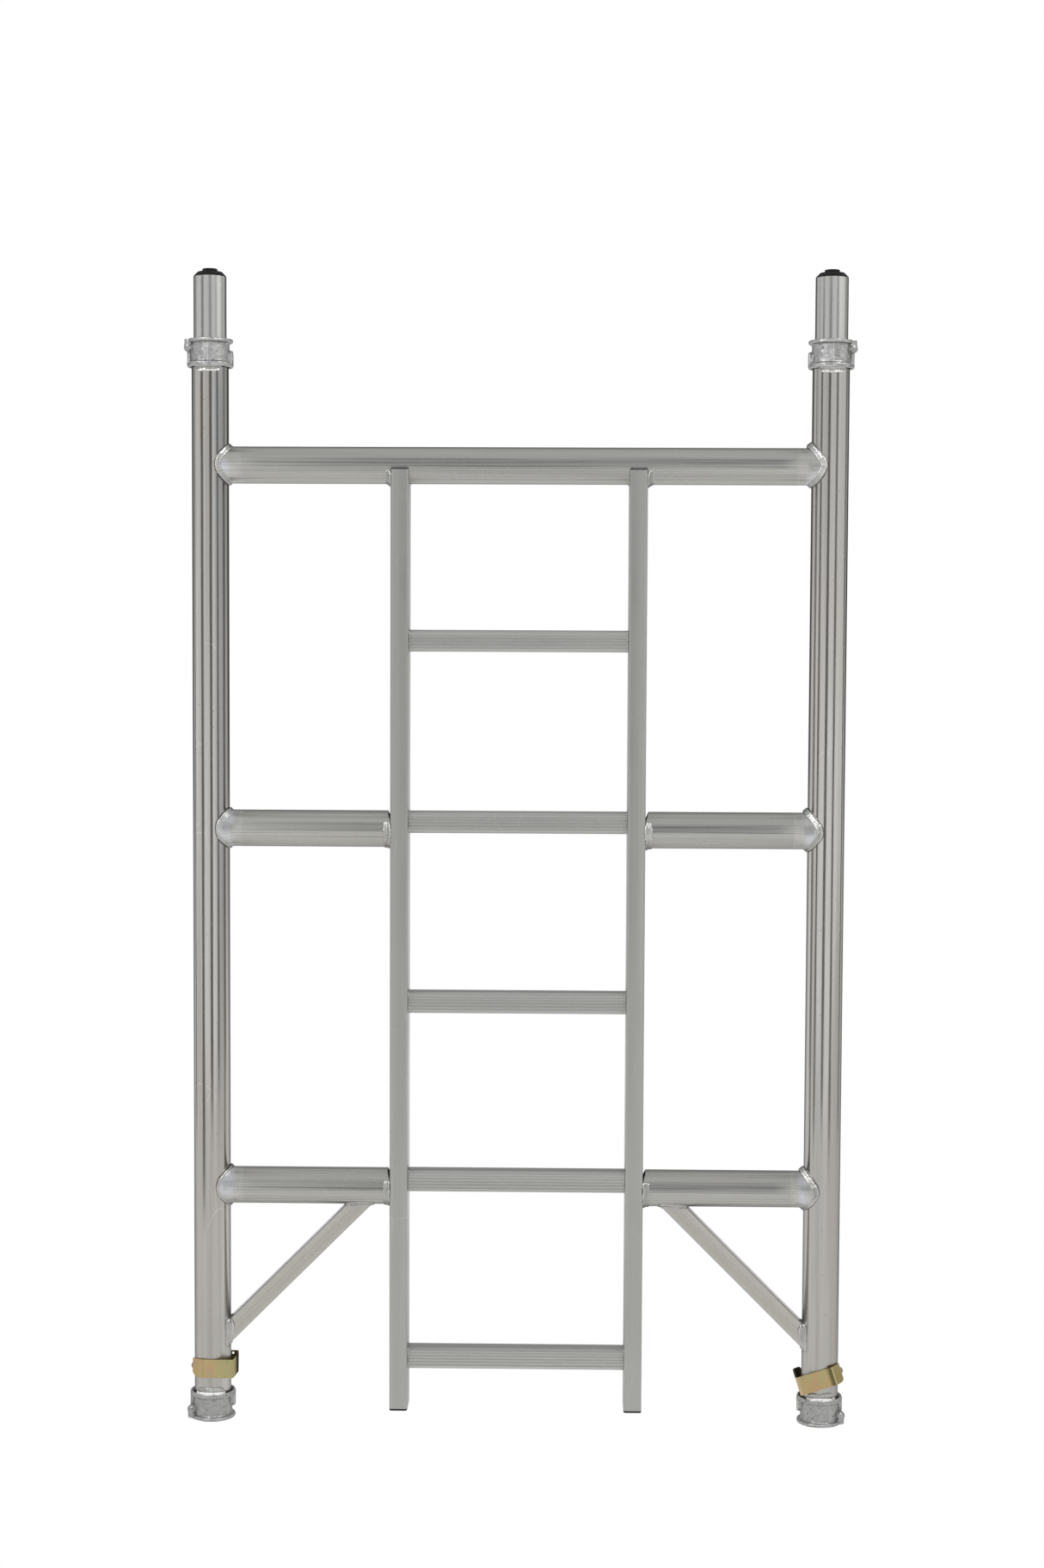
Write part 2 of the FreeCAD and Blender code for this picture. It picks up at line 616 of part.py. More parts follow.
def add_clips():
    """The two clips differ in bend, hole, pin and attitude."""
    plate_x = 26.7
    strap = clip_strap(plate_x, inner_x=31.2, creased=False, ear_hole=True)
    pin = clip_pin(plate_x, shoulder=False)
    pieces["left_clip_strap"] = mirror(place_clip(strap, tilt=7.0))
    pieces["left_clip_pin"] = mirror(place_clip(pin, tilt=7.0))

    plate_x = 29.2
    strap = clip_strap(plate_x, inner_x=32.7, creased=True, ear_hole=False)
    pin = clip_pin(plate_x, shoulder=True)
    pieces["right_clip_strap"] = place_clip(strap, tilt=8.0, droop=18.0)
    pieces["right_clip_pin"] = place_clip(pin, tilt=8.0, droop=18.0)


add_clips()

# -------------------------------------------------------------------- export
os.makedirs("parts", exist_ok=True)
for name, shape in pieces.items():
    single(shape).exportStep("parts/%s.step" % name)
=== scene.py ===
# Aluminium scaffold frame: two round standards joined by three ribbed ledgers, with a
# five-rung ladder between them, knee braces at the foot, cast collars at each end of the
# standards, spigots on top and a sprung clip with a pin at each foot.
# X runs along the ledgers, -Y is the front, Z is up and the floor is at z = 0.
# Shapes are written in millimetres and scaled to metres when their object is made;
# materials, stage and lights are in metres.
import json
import math
import random
from functools import cached_property

import bmesh
import bpy
from mathutils import Matrix, Vector, noise

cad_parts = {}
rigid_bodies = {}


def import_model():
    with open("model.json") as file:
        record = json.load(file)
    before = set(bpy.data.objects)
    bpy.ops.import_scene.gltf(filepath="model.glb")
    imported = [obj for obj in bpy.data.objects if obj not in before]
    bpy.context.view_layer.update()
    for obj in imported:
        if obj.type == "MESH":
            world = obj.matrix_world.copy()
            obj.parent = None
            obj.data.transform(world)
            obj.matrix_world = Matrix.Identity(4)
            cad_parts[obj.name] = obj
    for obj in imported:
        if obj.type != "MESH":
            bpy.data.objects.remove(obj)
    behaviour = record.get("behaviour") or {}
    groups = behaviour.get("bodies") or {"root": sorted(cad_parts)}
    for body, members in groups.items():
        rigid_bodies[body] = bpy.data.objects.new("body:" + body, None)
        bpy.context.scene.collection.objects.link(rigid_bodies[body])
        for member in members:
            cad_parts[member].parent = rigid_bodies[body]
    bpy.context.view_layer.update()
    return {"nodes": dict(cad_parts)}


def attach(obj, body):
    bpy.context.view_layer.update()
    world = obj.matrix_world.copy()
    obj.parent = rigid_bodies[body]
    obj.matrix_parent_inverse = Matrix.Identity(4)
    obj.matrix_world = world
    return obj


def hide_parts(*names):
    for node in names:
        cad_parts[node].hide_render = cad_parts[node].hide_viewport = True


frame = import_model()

random.seed(11)
scene = bpy.context.scene

# ------------------------------------------------------------------ driving dimensions (mm)
MM = 0.001
HALF_WIDTH = 425.0                  # frame centre to the axis of a standard
TUBE_R, WALL = 25.4, 2.5            # standards and ledgers
GAP = 0.1                           # clearance where one part is coped onto another
LEDGER_Z = tuple(1329.0 - 500.0 * k for k in range(3))
RUNG_Z = tuple(1089.0 - 250.0 * k for k in range(5))
MODULE = 1500.0                     # height of the frame between collar ends
COLLAR_H = 38.5
SOCKET = 6.0                        # depth of a standard's end inside its collar
STANDARD_Z0 = COLLAR_H - SOCKET
STANDARD_Z1 = MODULE - COLLAR_H + SOCKET
SPIGOT_TOP = 1585.0
STILE_X, STILE_W, STILE_D, STILE_T = 163.0, 25.0, 50.0, 2.0
STILE_Y = -27.0 + STILE_D / 2
STILE_OUT = STILE_X + STILE_W / 2
STILE_FOOT = 20.0
RUNG_HALF = 15.0
PIN_Z, PIN_R = 71.5, 3.2
PIN_HOLE_R = 4.7
SIDES = (("left", -1), ("right", 1))
TUBE_SEGMENTS = 144
FINISHES = {}                       # material by name, filled below


# ------------------------------------------------------------------ mesh helpers
# A shape is a (verts, faces) pair in mm.
def claim(ob, name, body):
    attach(ob, body)
    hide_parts(name)


def make(name, shape, finish, sharp=35.0, body="frame"):
    """Object with smooth faces, creased at edges over `sharp` degrees."""
    verts, faces = shape
    mesh = bpy.data.meshes.new(name)
    mesh.from_pydata([(x * MM, y * MM, z * MM) for x, y, z in verts], [], faces)
    mesh.validate()
    work = bmesh.new()
    work.from_mesh(mesh)
    bmesh.ops.recalc_face_normals(work, faces=work.faces)
    work.to_mesh(mesh)
    work.free()
    mesh.shade_smooth()
    mesh.set_sharp_from_angle(angle=math.radians(sharp))
    ob = bpy.data.objects.new(name, mesh)
    scene.collection.objects.link(ob)
    mesh.materials.append(FINISHES[finish])
    if body:
        claim(ob, name, body)
    return ob


def loft(rings, closed=False):
    """Skin over equal rings: joined last to first if closed, otherwise capped at both ends."""
    size, count = len(rings[0]), len(rings)
    verts = [point for ring in rings for point in ring]
    faces = []
    for i in range(count if closed else count - 1):
        low, high = i * size, ((i + 1) % count) * size
        for j in range(size):
            k = (j + 1) % size
            faces.append((low + j, low + k, high + k, high + j))
    if not closed:
        faces.append(tuple(range(size - 1, -1, -1)))
        faces.append(tuple((count - 1) * size + j for j in range(size)))
    return verts, faces


def lathe(profile, segments, centre, axis="Z", closed=False):
    """Turned shape from (radius, height) pairs."""
    rings = []
    for radius, height in profile:
        ring = []
        for i in range(segments):
            angle = 2 * math.pi * i / segments
            x, y = radius * math.cos(angle), radius * math.sin(angle)
            point = (x, y, height) if axis == "Z" else (height, x, y)
            ring.append(tuple(c + p for c, p in zip(centre, point)))
        rings.append(ring)
    return loft(rings, closed)


def merge(shapes):
    verts, faces = [], []
    for part_verts, part_faces in shapes:
        start = len(verts)
        verts += part_verts
        faces += [tuple(i + start for i in face) for face in part_faces]
    return verts, faces


def mirrored(shape, side):
    """A shape built at +x, flipped to -x for the left side."""
    verts, faces = shape
    return shape if side > 0 else ([(-x, y, z) for x, y, z in verts], faces)


def rounded_rect(width, height, radius, steps=5):
    """Counter-clockwise loop that starts at the lower end of the +X side."""
    x, y = width / 2 - radius, height / 2 - radius
    loop = []
    for cx, cy, start in ((x, -y, -90), (x, y, 0), (-x, y, 90), (-x, -y, 180)):
        for k in range(steps + 1):
            angle = math.radians(start + 90 * k / steps)
            loop.append((cx + radius * math.cos(angle), cy + radius * math.sin(angle)))
    return loop


def cut(ob, cutters):
    """Subtract the cutters for good and delete them."""
    for cutter in cutters:
        modifier = ob.modifiers.new("cut", "BOOLEAN")
        modifier.object = cutter
        modifier.operation = "DIFFERENCE"
        modifier.solver = "EXACT"
    graph = bpy.context.evaluated_depsgraph_get()
    mesh = bpy.data.meshes.new_from_object(ob.evaluated_get(graph), depsgraph=graph)
    ob.modifiers.clear()
    uncut = ob.data
    ob.data = mesh
    for cutter in cutters:
        bpy.data.objects.remove(cutter, do_unlink=True)
    bpy.data.meshes.remove(uncut)
    mesh.shade_smooth()
    mesh.set_sharp_from_angle(angle=math.radians(32))


def drill(radius, depth, base, direction, segments=40):
    """Cylindrical cutter that runs from base along direction."""
    mesh = bpy.data.meshes.new("cutter")
    work = bmesh.new()
    bmesh.ops.create_cone(work, cap_ends=True, segments=segments, radius1=radius * MM,
                          radius2=radius * MM, depth=depth * MM)
    work.to_mesh(mesh)
    work.free()
    ob = bpy.data.objects.new("cutter", mesh)
    scene.collection.objects.link(ob)
    along = Vector(direction).normalized()
    turn = Vector((0, 0, 1)).rotation_difference(along)
    middle = (Vector(base) + along * depth / 2) * MM
    ob.matrix_world = Matrix.Translation(middle) @ turn.to_matrix().to_4x4()
    bpy.context.view_layer.update()
    return ob


def clamp(value):
    return max(0.0, min(1.0, value))


def smoothstep(value):
    value = clamp(value)
    return value * value * (3 - 2 * value)


def groove_depth(offset, count, pitch, half, depth):
    """Depth, at an offset from the middle, of a row of rounded grooves of half-width `half`."""
    deepest = 0.0
    for k in range(count):
        x = offset - (k - (count - 1) / 2) * pitch
        if abs(x) < half:
            deepest = max(deepest, depth * (0.5 + 0.5 * math.cos(math.pi * x / half)) ** 0.7)
    return deepest


def coped(y, clearance=GAP):
    """Half-chord of a standard or ledger at offset y from its axis."""
    return math.sqrt(max(0.0, (TUBE_R + clearance) ** 2 - y * y))


# ------------------------------------------------------------------ shader helpers
class Shader:
    """Node-tree writer. An input may be given a socket, a number, or an RGB tuple."""

    def __init__(self, owner, surface="BsdfPrincipled", output="OutputMaterial"):
        owner.use_nodes = True
        self.owner, self.tree = owner, owner.node_tree
        self.tree.nodes.clear()
        self.surface = self.node(surface)
        self.node(output, {0: self.surface.outputs[0]})

    @cached_property
    def coord(self):
        return self.node("TexCoord")

    def feed(self, node, inputs):
        for key, value in inputs.items():
            socket = node.inputs[key]
            if isinstance(value, bpy.types.NodeSocket):
                self.tree.links.new(value, socket)
            elif isinstance(value, tuple) and socket.type == "RGBA":
                socket.default_value = (*value, 1)
            else:
                socket.default_value = value

    def node(self, kind, inputs={}, **settings):
        node = self.tree.nodes.new("ShaderNode" + kind)
        for key, value in settings.items():
            setattr(node, key, value)
        self.feed(node, inputs)
        return node

    def finish(self, inputs):
        """Feed the surface node and return the material."""
        self.feed(self.surface, inputs)
        return self.owner

    def mapped(self, stretch, shift):
        place = self.coord.outputs["Object"]
        inputs = {"Vector": place, "Scale": stretch, "Location": shift}
        return self.node("Mapping", inputs).outputs[0]

    def noise(self, scale, detail=3, rough=0.6, stretch=(1, 1, 1), shift=(0, 0, 0),
              distortion=0.0, vector=None):
        if vector is None:
            vector = self.mapped(stretch, shift)
        inputs = {"Vector": vector, "Scale": scale, "Detail": detail, "Roughness": rough,
                  "Distortion": distortion}
        return self.node("TexNoise", inputs).outputs["Fac"]

    def voronoi(self, scale, feature="F1", stretch=(1, 1, 1), shift=(0, 0, 0)):
        inputs = {"Vector": self.mapped(stretch, shift), "Scale": scale}
        return self.node("TexVoronoi", inputs, feature=feature).outputs["Distance"]

    def ramp(self, value, stops):
        """Colour ramp through (position, colour or grey) stops."""
        node = self.node("ValToRGB", {0: value})
        elements = node.color_ramp.elements
        while len(elements) < len(stops):
            elements.new(0.5)
        for k, (position, color) in enumerate(stops):
            elements[k].position = position
            rgb = color if isinstance(color, tuple) else (color, color, color)
            elements[k].color = (*rgb, 1.0)
        return node.outputs[0]

    def mix(self, amount, base, color):
        return self.node("Mix", {0: amount, 6: base, 7: color}, data_type="RGBA").outputs[2]

    def math(self, operation, first, second=0.0, limit=False):
        inputs = {0: first, 1: second}
        return self.node("Math", inputs, operation=operation, use_clamp=limit).outputs[0]

    def mul(self, first, *others):
        for other in others:
            first = self.math("MULTIPLY", first, other)
        return first

    def add(self, first, second):
        return self.math("ADD", first, second)

    def sub(self, first, second):
        return self.math("SUBTRACT", first, second)

    def size(self, value):
        return self.math("ABSOLUTE", value)

    def remap(self, value, span, to=(0.0, 1.0), kind="LINEAR"):
        """Carry value from the span onto the range `to`, held at its ends."""
        inputs = {"Value": value, "From Min": span[0], "From Max": span[1],
                  "To Min": to[0], "To Max": to[1]}
        return self.node("MapRange", inputs, interpolation_type=kind).outputs["Result"]

    def ease(self, value, span, to=(0.0, 1.0)):
        return self.remap(value, span, to, "SMOOTHSTEP")

    def bump(self, height, strength, distance, normal=None):
        inputs = {"Height": height, "Strength": strength, "Distance": distance}
        if normal is not None:
            inputs["Normal"] = normal
        return self.node("Bump", inputs).outputs[0]

    def geometry(self, what):
        return self.node("NewGeometry").outputs[what]

    def split(self, vector=None):
        """X, Y and Z of a vector, or of the object position."""
        if vector is None:
            vector = self.coord.outputs["Object"]
        return list(self.node("SeparateXYZ", {0: vector}).outputs)

    def facing(self):
        """0 face on, rising to 1 at grazing view."""
        return self.node("LayerWeight", {"Blend": 0.5}).outputs["Facing"]

    def level_view(self):
        """1 when seen from about level, 0 when seen from well above or below."""
        z = self.split(self.geometry("Incoming"))[2]
        return self.remap(self.size(z), (0.30, 0.55), to=(1.0, 0.0))


def new_shader(name):
    return Shader(bpy.data.materials.new(name))


# ------------------------------------------------------------------ mill-finish metals
def mill_metal(name, tone, axis, rough, lines, warm, edge, streaks,
               spots=0.5, speck_at=0.56, rim=0.0, extra=None):
    """Mill-finish aluminium with drawn lines along axis.

    rough: roughness range; lines: bump of the fine lines; warm: strength of the stains;
    edge: grazing tint; streaks: contrast of the broad bands; spots, speck_at: strength and
    threshold of the dark specks; rim: strength of the painted dark reflection along the
    tube's outline; extra: added layers.
    """
    sh = new_shader(name)

    def toned(red, green, blue):
        return tone[0] * red, tone[1] * green, tone[2] * blue

    def drawn(across, along):
        return tuple(along if letter == axis else across for letter in "XYZ")

    fine = sh.noise(scale=1.0, detail=4, stretch=drawn(across=520.0, along=2.2))
    broad = sh.noise(scale=1.0, rough=0.55, stretch=drawn(across=90.0, along=1.1),
                     shift=(3, 5, 1))
    cloud = sh.noise(scale=9.0, detail=4, shift=(7, 2, 3))
    grain = sh.noise(scale=900.0, detail=2, rough=0.5)
    base = sh.ramp(broad, [(0.28, toned(1 - streaks, 1 - streaks * 1.02, 1 - streaks)),
                           (0.52, tone), (0.75, toned(1.06, 1.055, 1.04))])
    base = sh.mix(sh.remap(fine, (0.35, 0.7), to=(0.0, 0.5)), base, toned(0.84, 0.83, 0.82))
    # warm and cool stains drawn out along the length
    stain = sh.noise(scale=1.0, stretch=drawn(across=42.0, along=3.0), shift=(11, 3, 8))
    base = sh.mix(sh.remap(stain, (0.56, 0.72), to=(0.0, 0.35 * warm)), base,
                  toned(0.86, 0.74, 0.66))
    base = sh.mix(sh.remap(stain, (0.44, 0.30), to=(0.0, 0.25 * warm)), base,
                  toned(0.80, 0.84, 0.90))
    base = sh.mix(sh.remap(cloud, (0.35, 0.65), to=(0.0, 0.16)), base,
                  toned(0.90, 0.89, 0.86))
    # sparse dark specks
    cells = sh.voronoi(scale=95.0, shift=(1, 2, 3))
    rare = sh.noise(scale=38.0, detail=1, rough=0.4, shift=(5, 5, 5))
    speck = sh.mul(sh.remap(cells, (0.10, 0.05)), sh.remap(rare, (speck_at, speck_at + 0.06)))
    base = sh.mix(sh.mul(speck, 0.55 * spots), base, (0.12, 0.11, 0.09))
    # thin bright scratches
    cracks = sh.voronoi(scale=24.0, feature="DISTANCE_TO_EDGE", stretch=(1.0, 1.0, 0.45),
                        shift=(2, 9, 4))
    patches = sh.noise(scale=14.0, detail=2, rough=0.5, shift=(9, 1, 6))
    scratch = sh.mul(sh.remap(cracks, (0.012, 0.002)), sh.remap(patches, (0.56, 0.66)))
    base = sh.mix(sh.mul(scratch, 0.35), base, toned(1.35, 1.35, 1.35))
    if extra:
        base = extra(sh, base)
    roughness = sh.add(sh.remap(cloud, (0.3, 0.7), to=rough),
                       sh.remap(fine, (0.3, 0.7), to=(-0.03, 0.05)))
    if rim:
        # painted dark reflection along the outline, stronger towards the top; surface duller
        # close to the ground
        z = sh.split()[2]
        painted_dark_outline = sh.mul(sh.remap(sh.facing(), (0.46, 0.64), to=(0.0, rim)),
                         sh.remap(z, (0.15, 0.9), to=(0.14, 1.0)), sh.level_view())
        base = sh.mix(painted_dark_outline, base, toned(0.14, 0.14, 0.14))
        roughness = sh.add(roughness, sh.ease(z, (0.20, 0.12), to=(0.0, 0.20)))
    roughness = sh.math("ADD", roughness, sh.mul(speck, 0.25), limit=True)
    normal = sh.bump(fine, strength=lines, distance=0.0002)
    normal = sh.bump(grain, strength=0.10, distance=0.00012, normal=normal)
    normal = sh.bump(sh.add(cloud, sh.mul(broad, 0.5)), strength=0.12, distance=0.0012,
                     normal=normal)
    return sh.finish({"Base Color": base, "Metallic": 1.0, "Roughness": roughness,
                      "Specular Tint": (edge, edge, edge), "Normal": normal})


def ledger_layers(sh, base):
    """Brushed ends beside the standards, and a painted dark reflection in a strip along the
    ribs.
    """
    x, _, z = sh.split()
    out = sh.size(x)
    # bright brushed zone with a ragged border
    ragged = sh.noise(scale=55.0, detail=2, rough=0.5, shift=(4, 7, 1))
    border = sh.add(out, sh.mul(sh.sub(ragged, 0.5), 0.003))
    zone = sh.remap(border, (0.3785, 0.3800))
    brushed = sh.noise(scale=1.0, stretch=(1500.0, 60.0, 60.0), shift=(2, 2, 2))
    color = sh.ramp(brushed, [(0.3, (0.58, 0.575, 0.55)), (0.7, (0.74, 0.735, 0.71))])
    base = sh.mix(sh.mul(zone, 0.6), base, color)
    # bluish bloom next to the bead
    cloud = sh.noise(scale=26.0, detail=2, rough=0.5, shift=(8, 8, 3))
    bloom = sh.mul(sh.ease(out, (0.386, 0.398)), sh.remap(cloud, (0.36, 0.56)))
    base = sh.mix(sh.mul(bloom, 0.75), base, (0.80, 0.82, 0.88))
    # dark and light drawn lines all round
    drawn = sh.noise(scale=1.0, rough=0.7, stretch=(1.6, 360.0, 360.0), shift=(7, 3, 1))
    base = sh.mix(sh.remap(drawn, (0.53, 0.66), to=(0.0, 0.30)), base, (0.30, 0.30, 0.29))
    base = sh.mix(sh.remap(drawn, (0.46, 0.34), to=(0.0, 0.30)), base, (0.80, 0.80, 0.77))
    # painted dark reflection in a strip along the ribs, at a height measured from each ledger
    # and drifting a little lower down
    local = sh.sub(sh.math("MODULO", sh.add(z, 0.421), 0.5), 0.25)
    height = sh.sub(local, sh.mul(sh.sub(LEDGER_Z[0] * MM, z), 0.0035))
    strip = sh.mul(sh.ease(height, (-0.0065, -0.0010)), sh.ease(height, (0.0105, 0.0050)),
                   sh.ease(x, (-0.42, -0.12), to=(0.25, 1.0)),
                   sh.ease(out, (0.352, 0.386), to=(1.0, 0.0)))
    lines = sh.remap(drawn, (0.50, 0.58), to=(0.0, 0.62))
    base = sh.mix(sh.mul(strip, lines), base, (0.10, 0.105, 0.11))
    return sh.mix(sh.mul(strip, 0.46), base, (0.25, 0.255, 0.26))


def stile_layers(sh, base):
    """Painted contact shadow and painted dark reflection at the upper end of the stile, under
    the top ledger.
    """
    end = sh.remap(sh.split()[2], (1.3223, 1.3227))
    return sh.mix(sh.mul(end, 0.97), base, (0.01, 0.01, 0.01))


def brace_layers(sh, base):
    """Lines along the brace, at 45 degrees and mirrored about the frame's middle."""
    x, y, z = sh.split()
    across = sh.sub(z, sh.mul(sh.size(x), -1.0))
    vector = sh.node("CombineXYZ", {0: across, 1: sh.mul(y, 0.6)}).outputs[0]
    coarse = sh.noise(scale=210.0, vector=vector)
    fine = sh.noise(scale=900.0, detail=2, vector=vector)
    base = sh.mix(sh.remap(coarse, (0.42, 0.62), to=(0.0, 0.35)), base, (0.42, 0.385, 0.34))
    base = sh.mix(sh.remap(fine, (0.55, 0.7), to=(0.0, 0.35)), base, (0.72, 0.71, 0.69))
    # painted dark reflection along the outline, seen from about level
    painted_dark_outline = sh.remap(sh.facing(), (0.56, 0.74), to=(0.0, 0.72))
    return sh.mix(sh.mul(painted_dark_outline, sh.level_view()), base, (0.10, 0.095, 0.09))


# across (in tube radii), half-width, z where it starts and is full, tint, amount
STAIN_LINES = (
    (-0.40, 0.055, 1.20, 1.32, (0.50, 0.33, 0.27), 0.55),
    (0.47, 0.060, 1.18, 1.30, (0.33, 0.38, 0.48), 0.60),
)


def standard_layers(sh, base):
    """Dull strip and stain lines on the left standard; both standards brighter on the inner
    front near the foot.
    """
    x, y, z = sh.split()
    # dull strip down the inner front, fading out towards the foot
    across = sh.math("DIVIDE", sh.add(x, HALF_WIDTH * MM), TUBE_R * MM)
    strip = sh.mul(sh.ease(across, (0.28, 0.48)), sh.remap(across, (1.05, 0.95)),
                   sh.remap(y, (0.004, -0.004)), sh.ease(z, (0.25, 0.85)))
    base = sh.mix(sh.mul(strip, 0.80), base, (0.33, 0.325, 0.32))
    # narrow rusty and bluish lines on the upper front
    front = sh.remap(y, (-0.002, -0.006))
    broken = sh.noise(scale=14.0, shift=(8, 8, 3))
    for centre, half, z_start, z_full, tint, amount in STAIN_LINES:
        line = sh.mul(sh.remap(sh.size(sh.sub(across, centre)), (half, half * 0.3)),
                      sh.mul(front, sh.ease(z, (z_start, z_full))),
                      sh.remap(broken, (0.42, 0.58), to=(0.25, 1.0)))
        base = sh.mix(sh.mul(line, amount), base, tint)
    # brighter inner front above the foot
    inward = sh.math("DIVIDE", sh.sub(HALF_WIDTH * MM, sh.size(x)), TUBE_R * MM)
    inner_front_brightening = sh.mul(sh.ease(inward, (0.56, 0.74)), sh.ease(z, (0.42, 0.20)),
                   sh.remap(y, (0.002, -0.002)))
    return sh.mix(sh.mul(inner_front_brightening, 0.30), base, (0.90, 0.885, 0.86))


MILL_METALS = {
    "mill_tube": dict(
        tone=(0.605, 0.59, 0.565), axis="Z", rough=(0.09, 0.16), lines=0.10, warm=1.0,
        edge=0.30, streaks=0.22, spots=1.0, speck_at=0.51, rim=0.56, extra=standard_layers),
    "mill_spigot": dict(
        tone=(0.665, 0.665, 0.655), axis="Z", rough=(0.18, 0.25), lines=0.12, warm=0.3,
        edge=0.35, streaks=0.16, rim=0.5),
    "ribbed_tube": dict(
        tone=(0.60, 0.60, 0.575), axis="X", rough=(0.28, 0.40), lines=0.16, warm=0.3,
        edge=0.42, streaks=0.12, spots=0.6, rim=0.15, extra=ledger_layers),
    "ladder_stile": dict(
        tone=(0.55, 0.555, 0.535), axis="Z", rough=(0.34, 0.44), lines=0.10, warm=0.2,
        edge=0.92, streaks=0.05, extra=stile_layers),
    "ladder_rung": dict(
        tone=(0.625, 0.63, 0.615), axis="X", rough=(0.30, 0.40), lines=0.16, warm=0.2,
        edge=0.45, streaks=0.08),
    "brace_tube": dict(
        tone=(0.62, 0.605, 0.575), axis="Y", rough=(0.15, 0.22), lines=0.03, warm=0.2,
        edge=0.97, streaks=0.04, extra=brace_layers),
}


# ------------------------------------------------------------------ other materials
def cast_material(name):
    sh = new_shader(name)
    sand = sh.noise(scale=420.0, detail=4, rough=0.65)
    mottle = sh.noise(scale=150.0, shift=(2, 4, 6))
    cloud = sh.noise(scale=34.0, rough=0.5, shift=(6, 1, 2))
    base = sh.ramp(mottle, [(0.30, (0.36, 0.365, 0.36)), (0.50, (0.45, 0.455, 0.45)),
                            (0.70, (0.54, 0.545, 0.54))])
    base = sh.mix(sh.remap(cloud, (0.35, 0.65), to=(0.0, 0.30)), base, (0.44, 0.445, 0.45))
    # dark pits and bright flakes, in separate patches
    patches = sh.noise(scale=60.0, detail=2, rough=0.5, shift=(1, 8, 2))
    pit = sh.mul(sh.remap(sh.voronoi(scale=170.0, shift=(3, 3, 1)), (0.24, 0.12)),
                 sh.remap(patches, (0.50, 0.58)))
    base = sh.mix(sh.mul(pit, 0.85), base, (0.10, 0.10, 0.10))
    flake = sh.mul(sh.remap(sh.voronoi(scale=260.0, shift=(9, 2, 5)), (0.20, 0.10)),
                   sh.remap(patches, (0.48, 0.38)))
    base = sh.mix(sh.mul(flake, 0.55), base, (0.90, 0.90, 0.88))
    # painted highlights on ridges and painted shade in hollows
    ridges = sh.geometry("Pointiness")
    base = sh.mix(sh.remap(ridges, (0.512, 0.545), to=(0.0, 0.65)), base, (0.86, 0.86, 0.84))
    base = sh.mix(sh.remap(ridges, (0.492, 0.455), to=(0.0, 0.85)), base, (0.09, 0.09, 0.09))
    # parting line down the front and rear of the casting, faint on the foot collars
    x, y, z = sh.split()
    offset = sh.sub(sh.size(x), HALF_WIDTH * MM)
    jitter = sh.mul(sh.sub(mottle, 0.5), 0.0008)
    line = sh.mul(sh.remap(sh.size(sh.add(offset, jitter)), (0.0008, 0.0003)),
                  sh.remap(z, (0.7, 0.8), to=(0.12, 1.0)))
    base = sh.mix(sh.mul(line, 0.65), base, (0.88, 0.88, 0.86))
    # painted shade in the gap where the standard sits in its socket, strongest at the front
    beside = sh.sub(sh.size(x), HALF_WIDTH * MM)
    radius = sh.math("SQRT", sh.add(sh.math("POWER", beside, 2.0), sh.math("POWER", y, 2.0)))
    from_middle = sh.size(sh.sub(z, MODULE / 2 * MM))
    forward = sh.math("DIVIDE", sh.mul(y, -1.0), radius)
    socket_gap_shade = sh.mul(sh.mul(sh.remap(radius, (0.0289, 0.0281)),
                         sh.remap(from_middle, (0.7165, 0.7140))),
                  sh.ease(forward, (0.15, 0.50), to=(0.25, 1.0)))
    base = sh.mix(sh.mul(socket_gap_shade, 0.95), base, (0.015, 0.015, 0.015))
    normal = sh.bump(sand, strength=0.30, distance=0.0004)
    normal = sh.bump(mottle, strength=0.40, distance=0.0009, normal=normal)
    normal = sh.bump(sh.sub(sh.mul(line, 1.2), pit), strength=0.8, distance=0.0006,
                     normal=normal)
    roughness = sh.add(sh.remap(mottle, (0.3, 0.7), to=(0.30, 0.44)), sh.mul(socket_gap_shade, 0.4))
    return sh.finish({"Base Color": base, "Metallic": 0.95, "Roughness": roughness,
                      "Normal": normal, "Specular Tint": (0.5, 0.5, 0.5)})


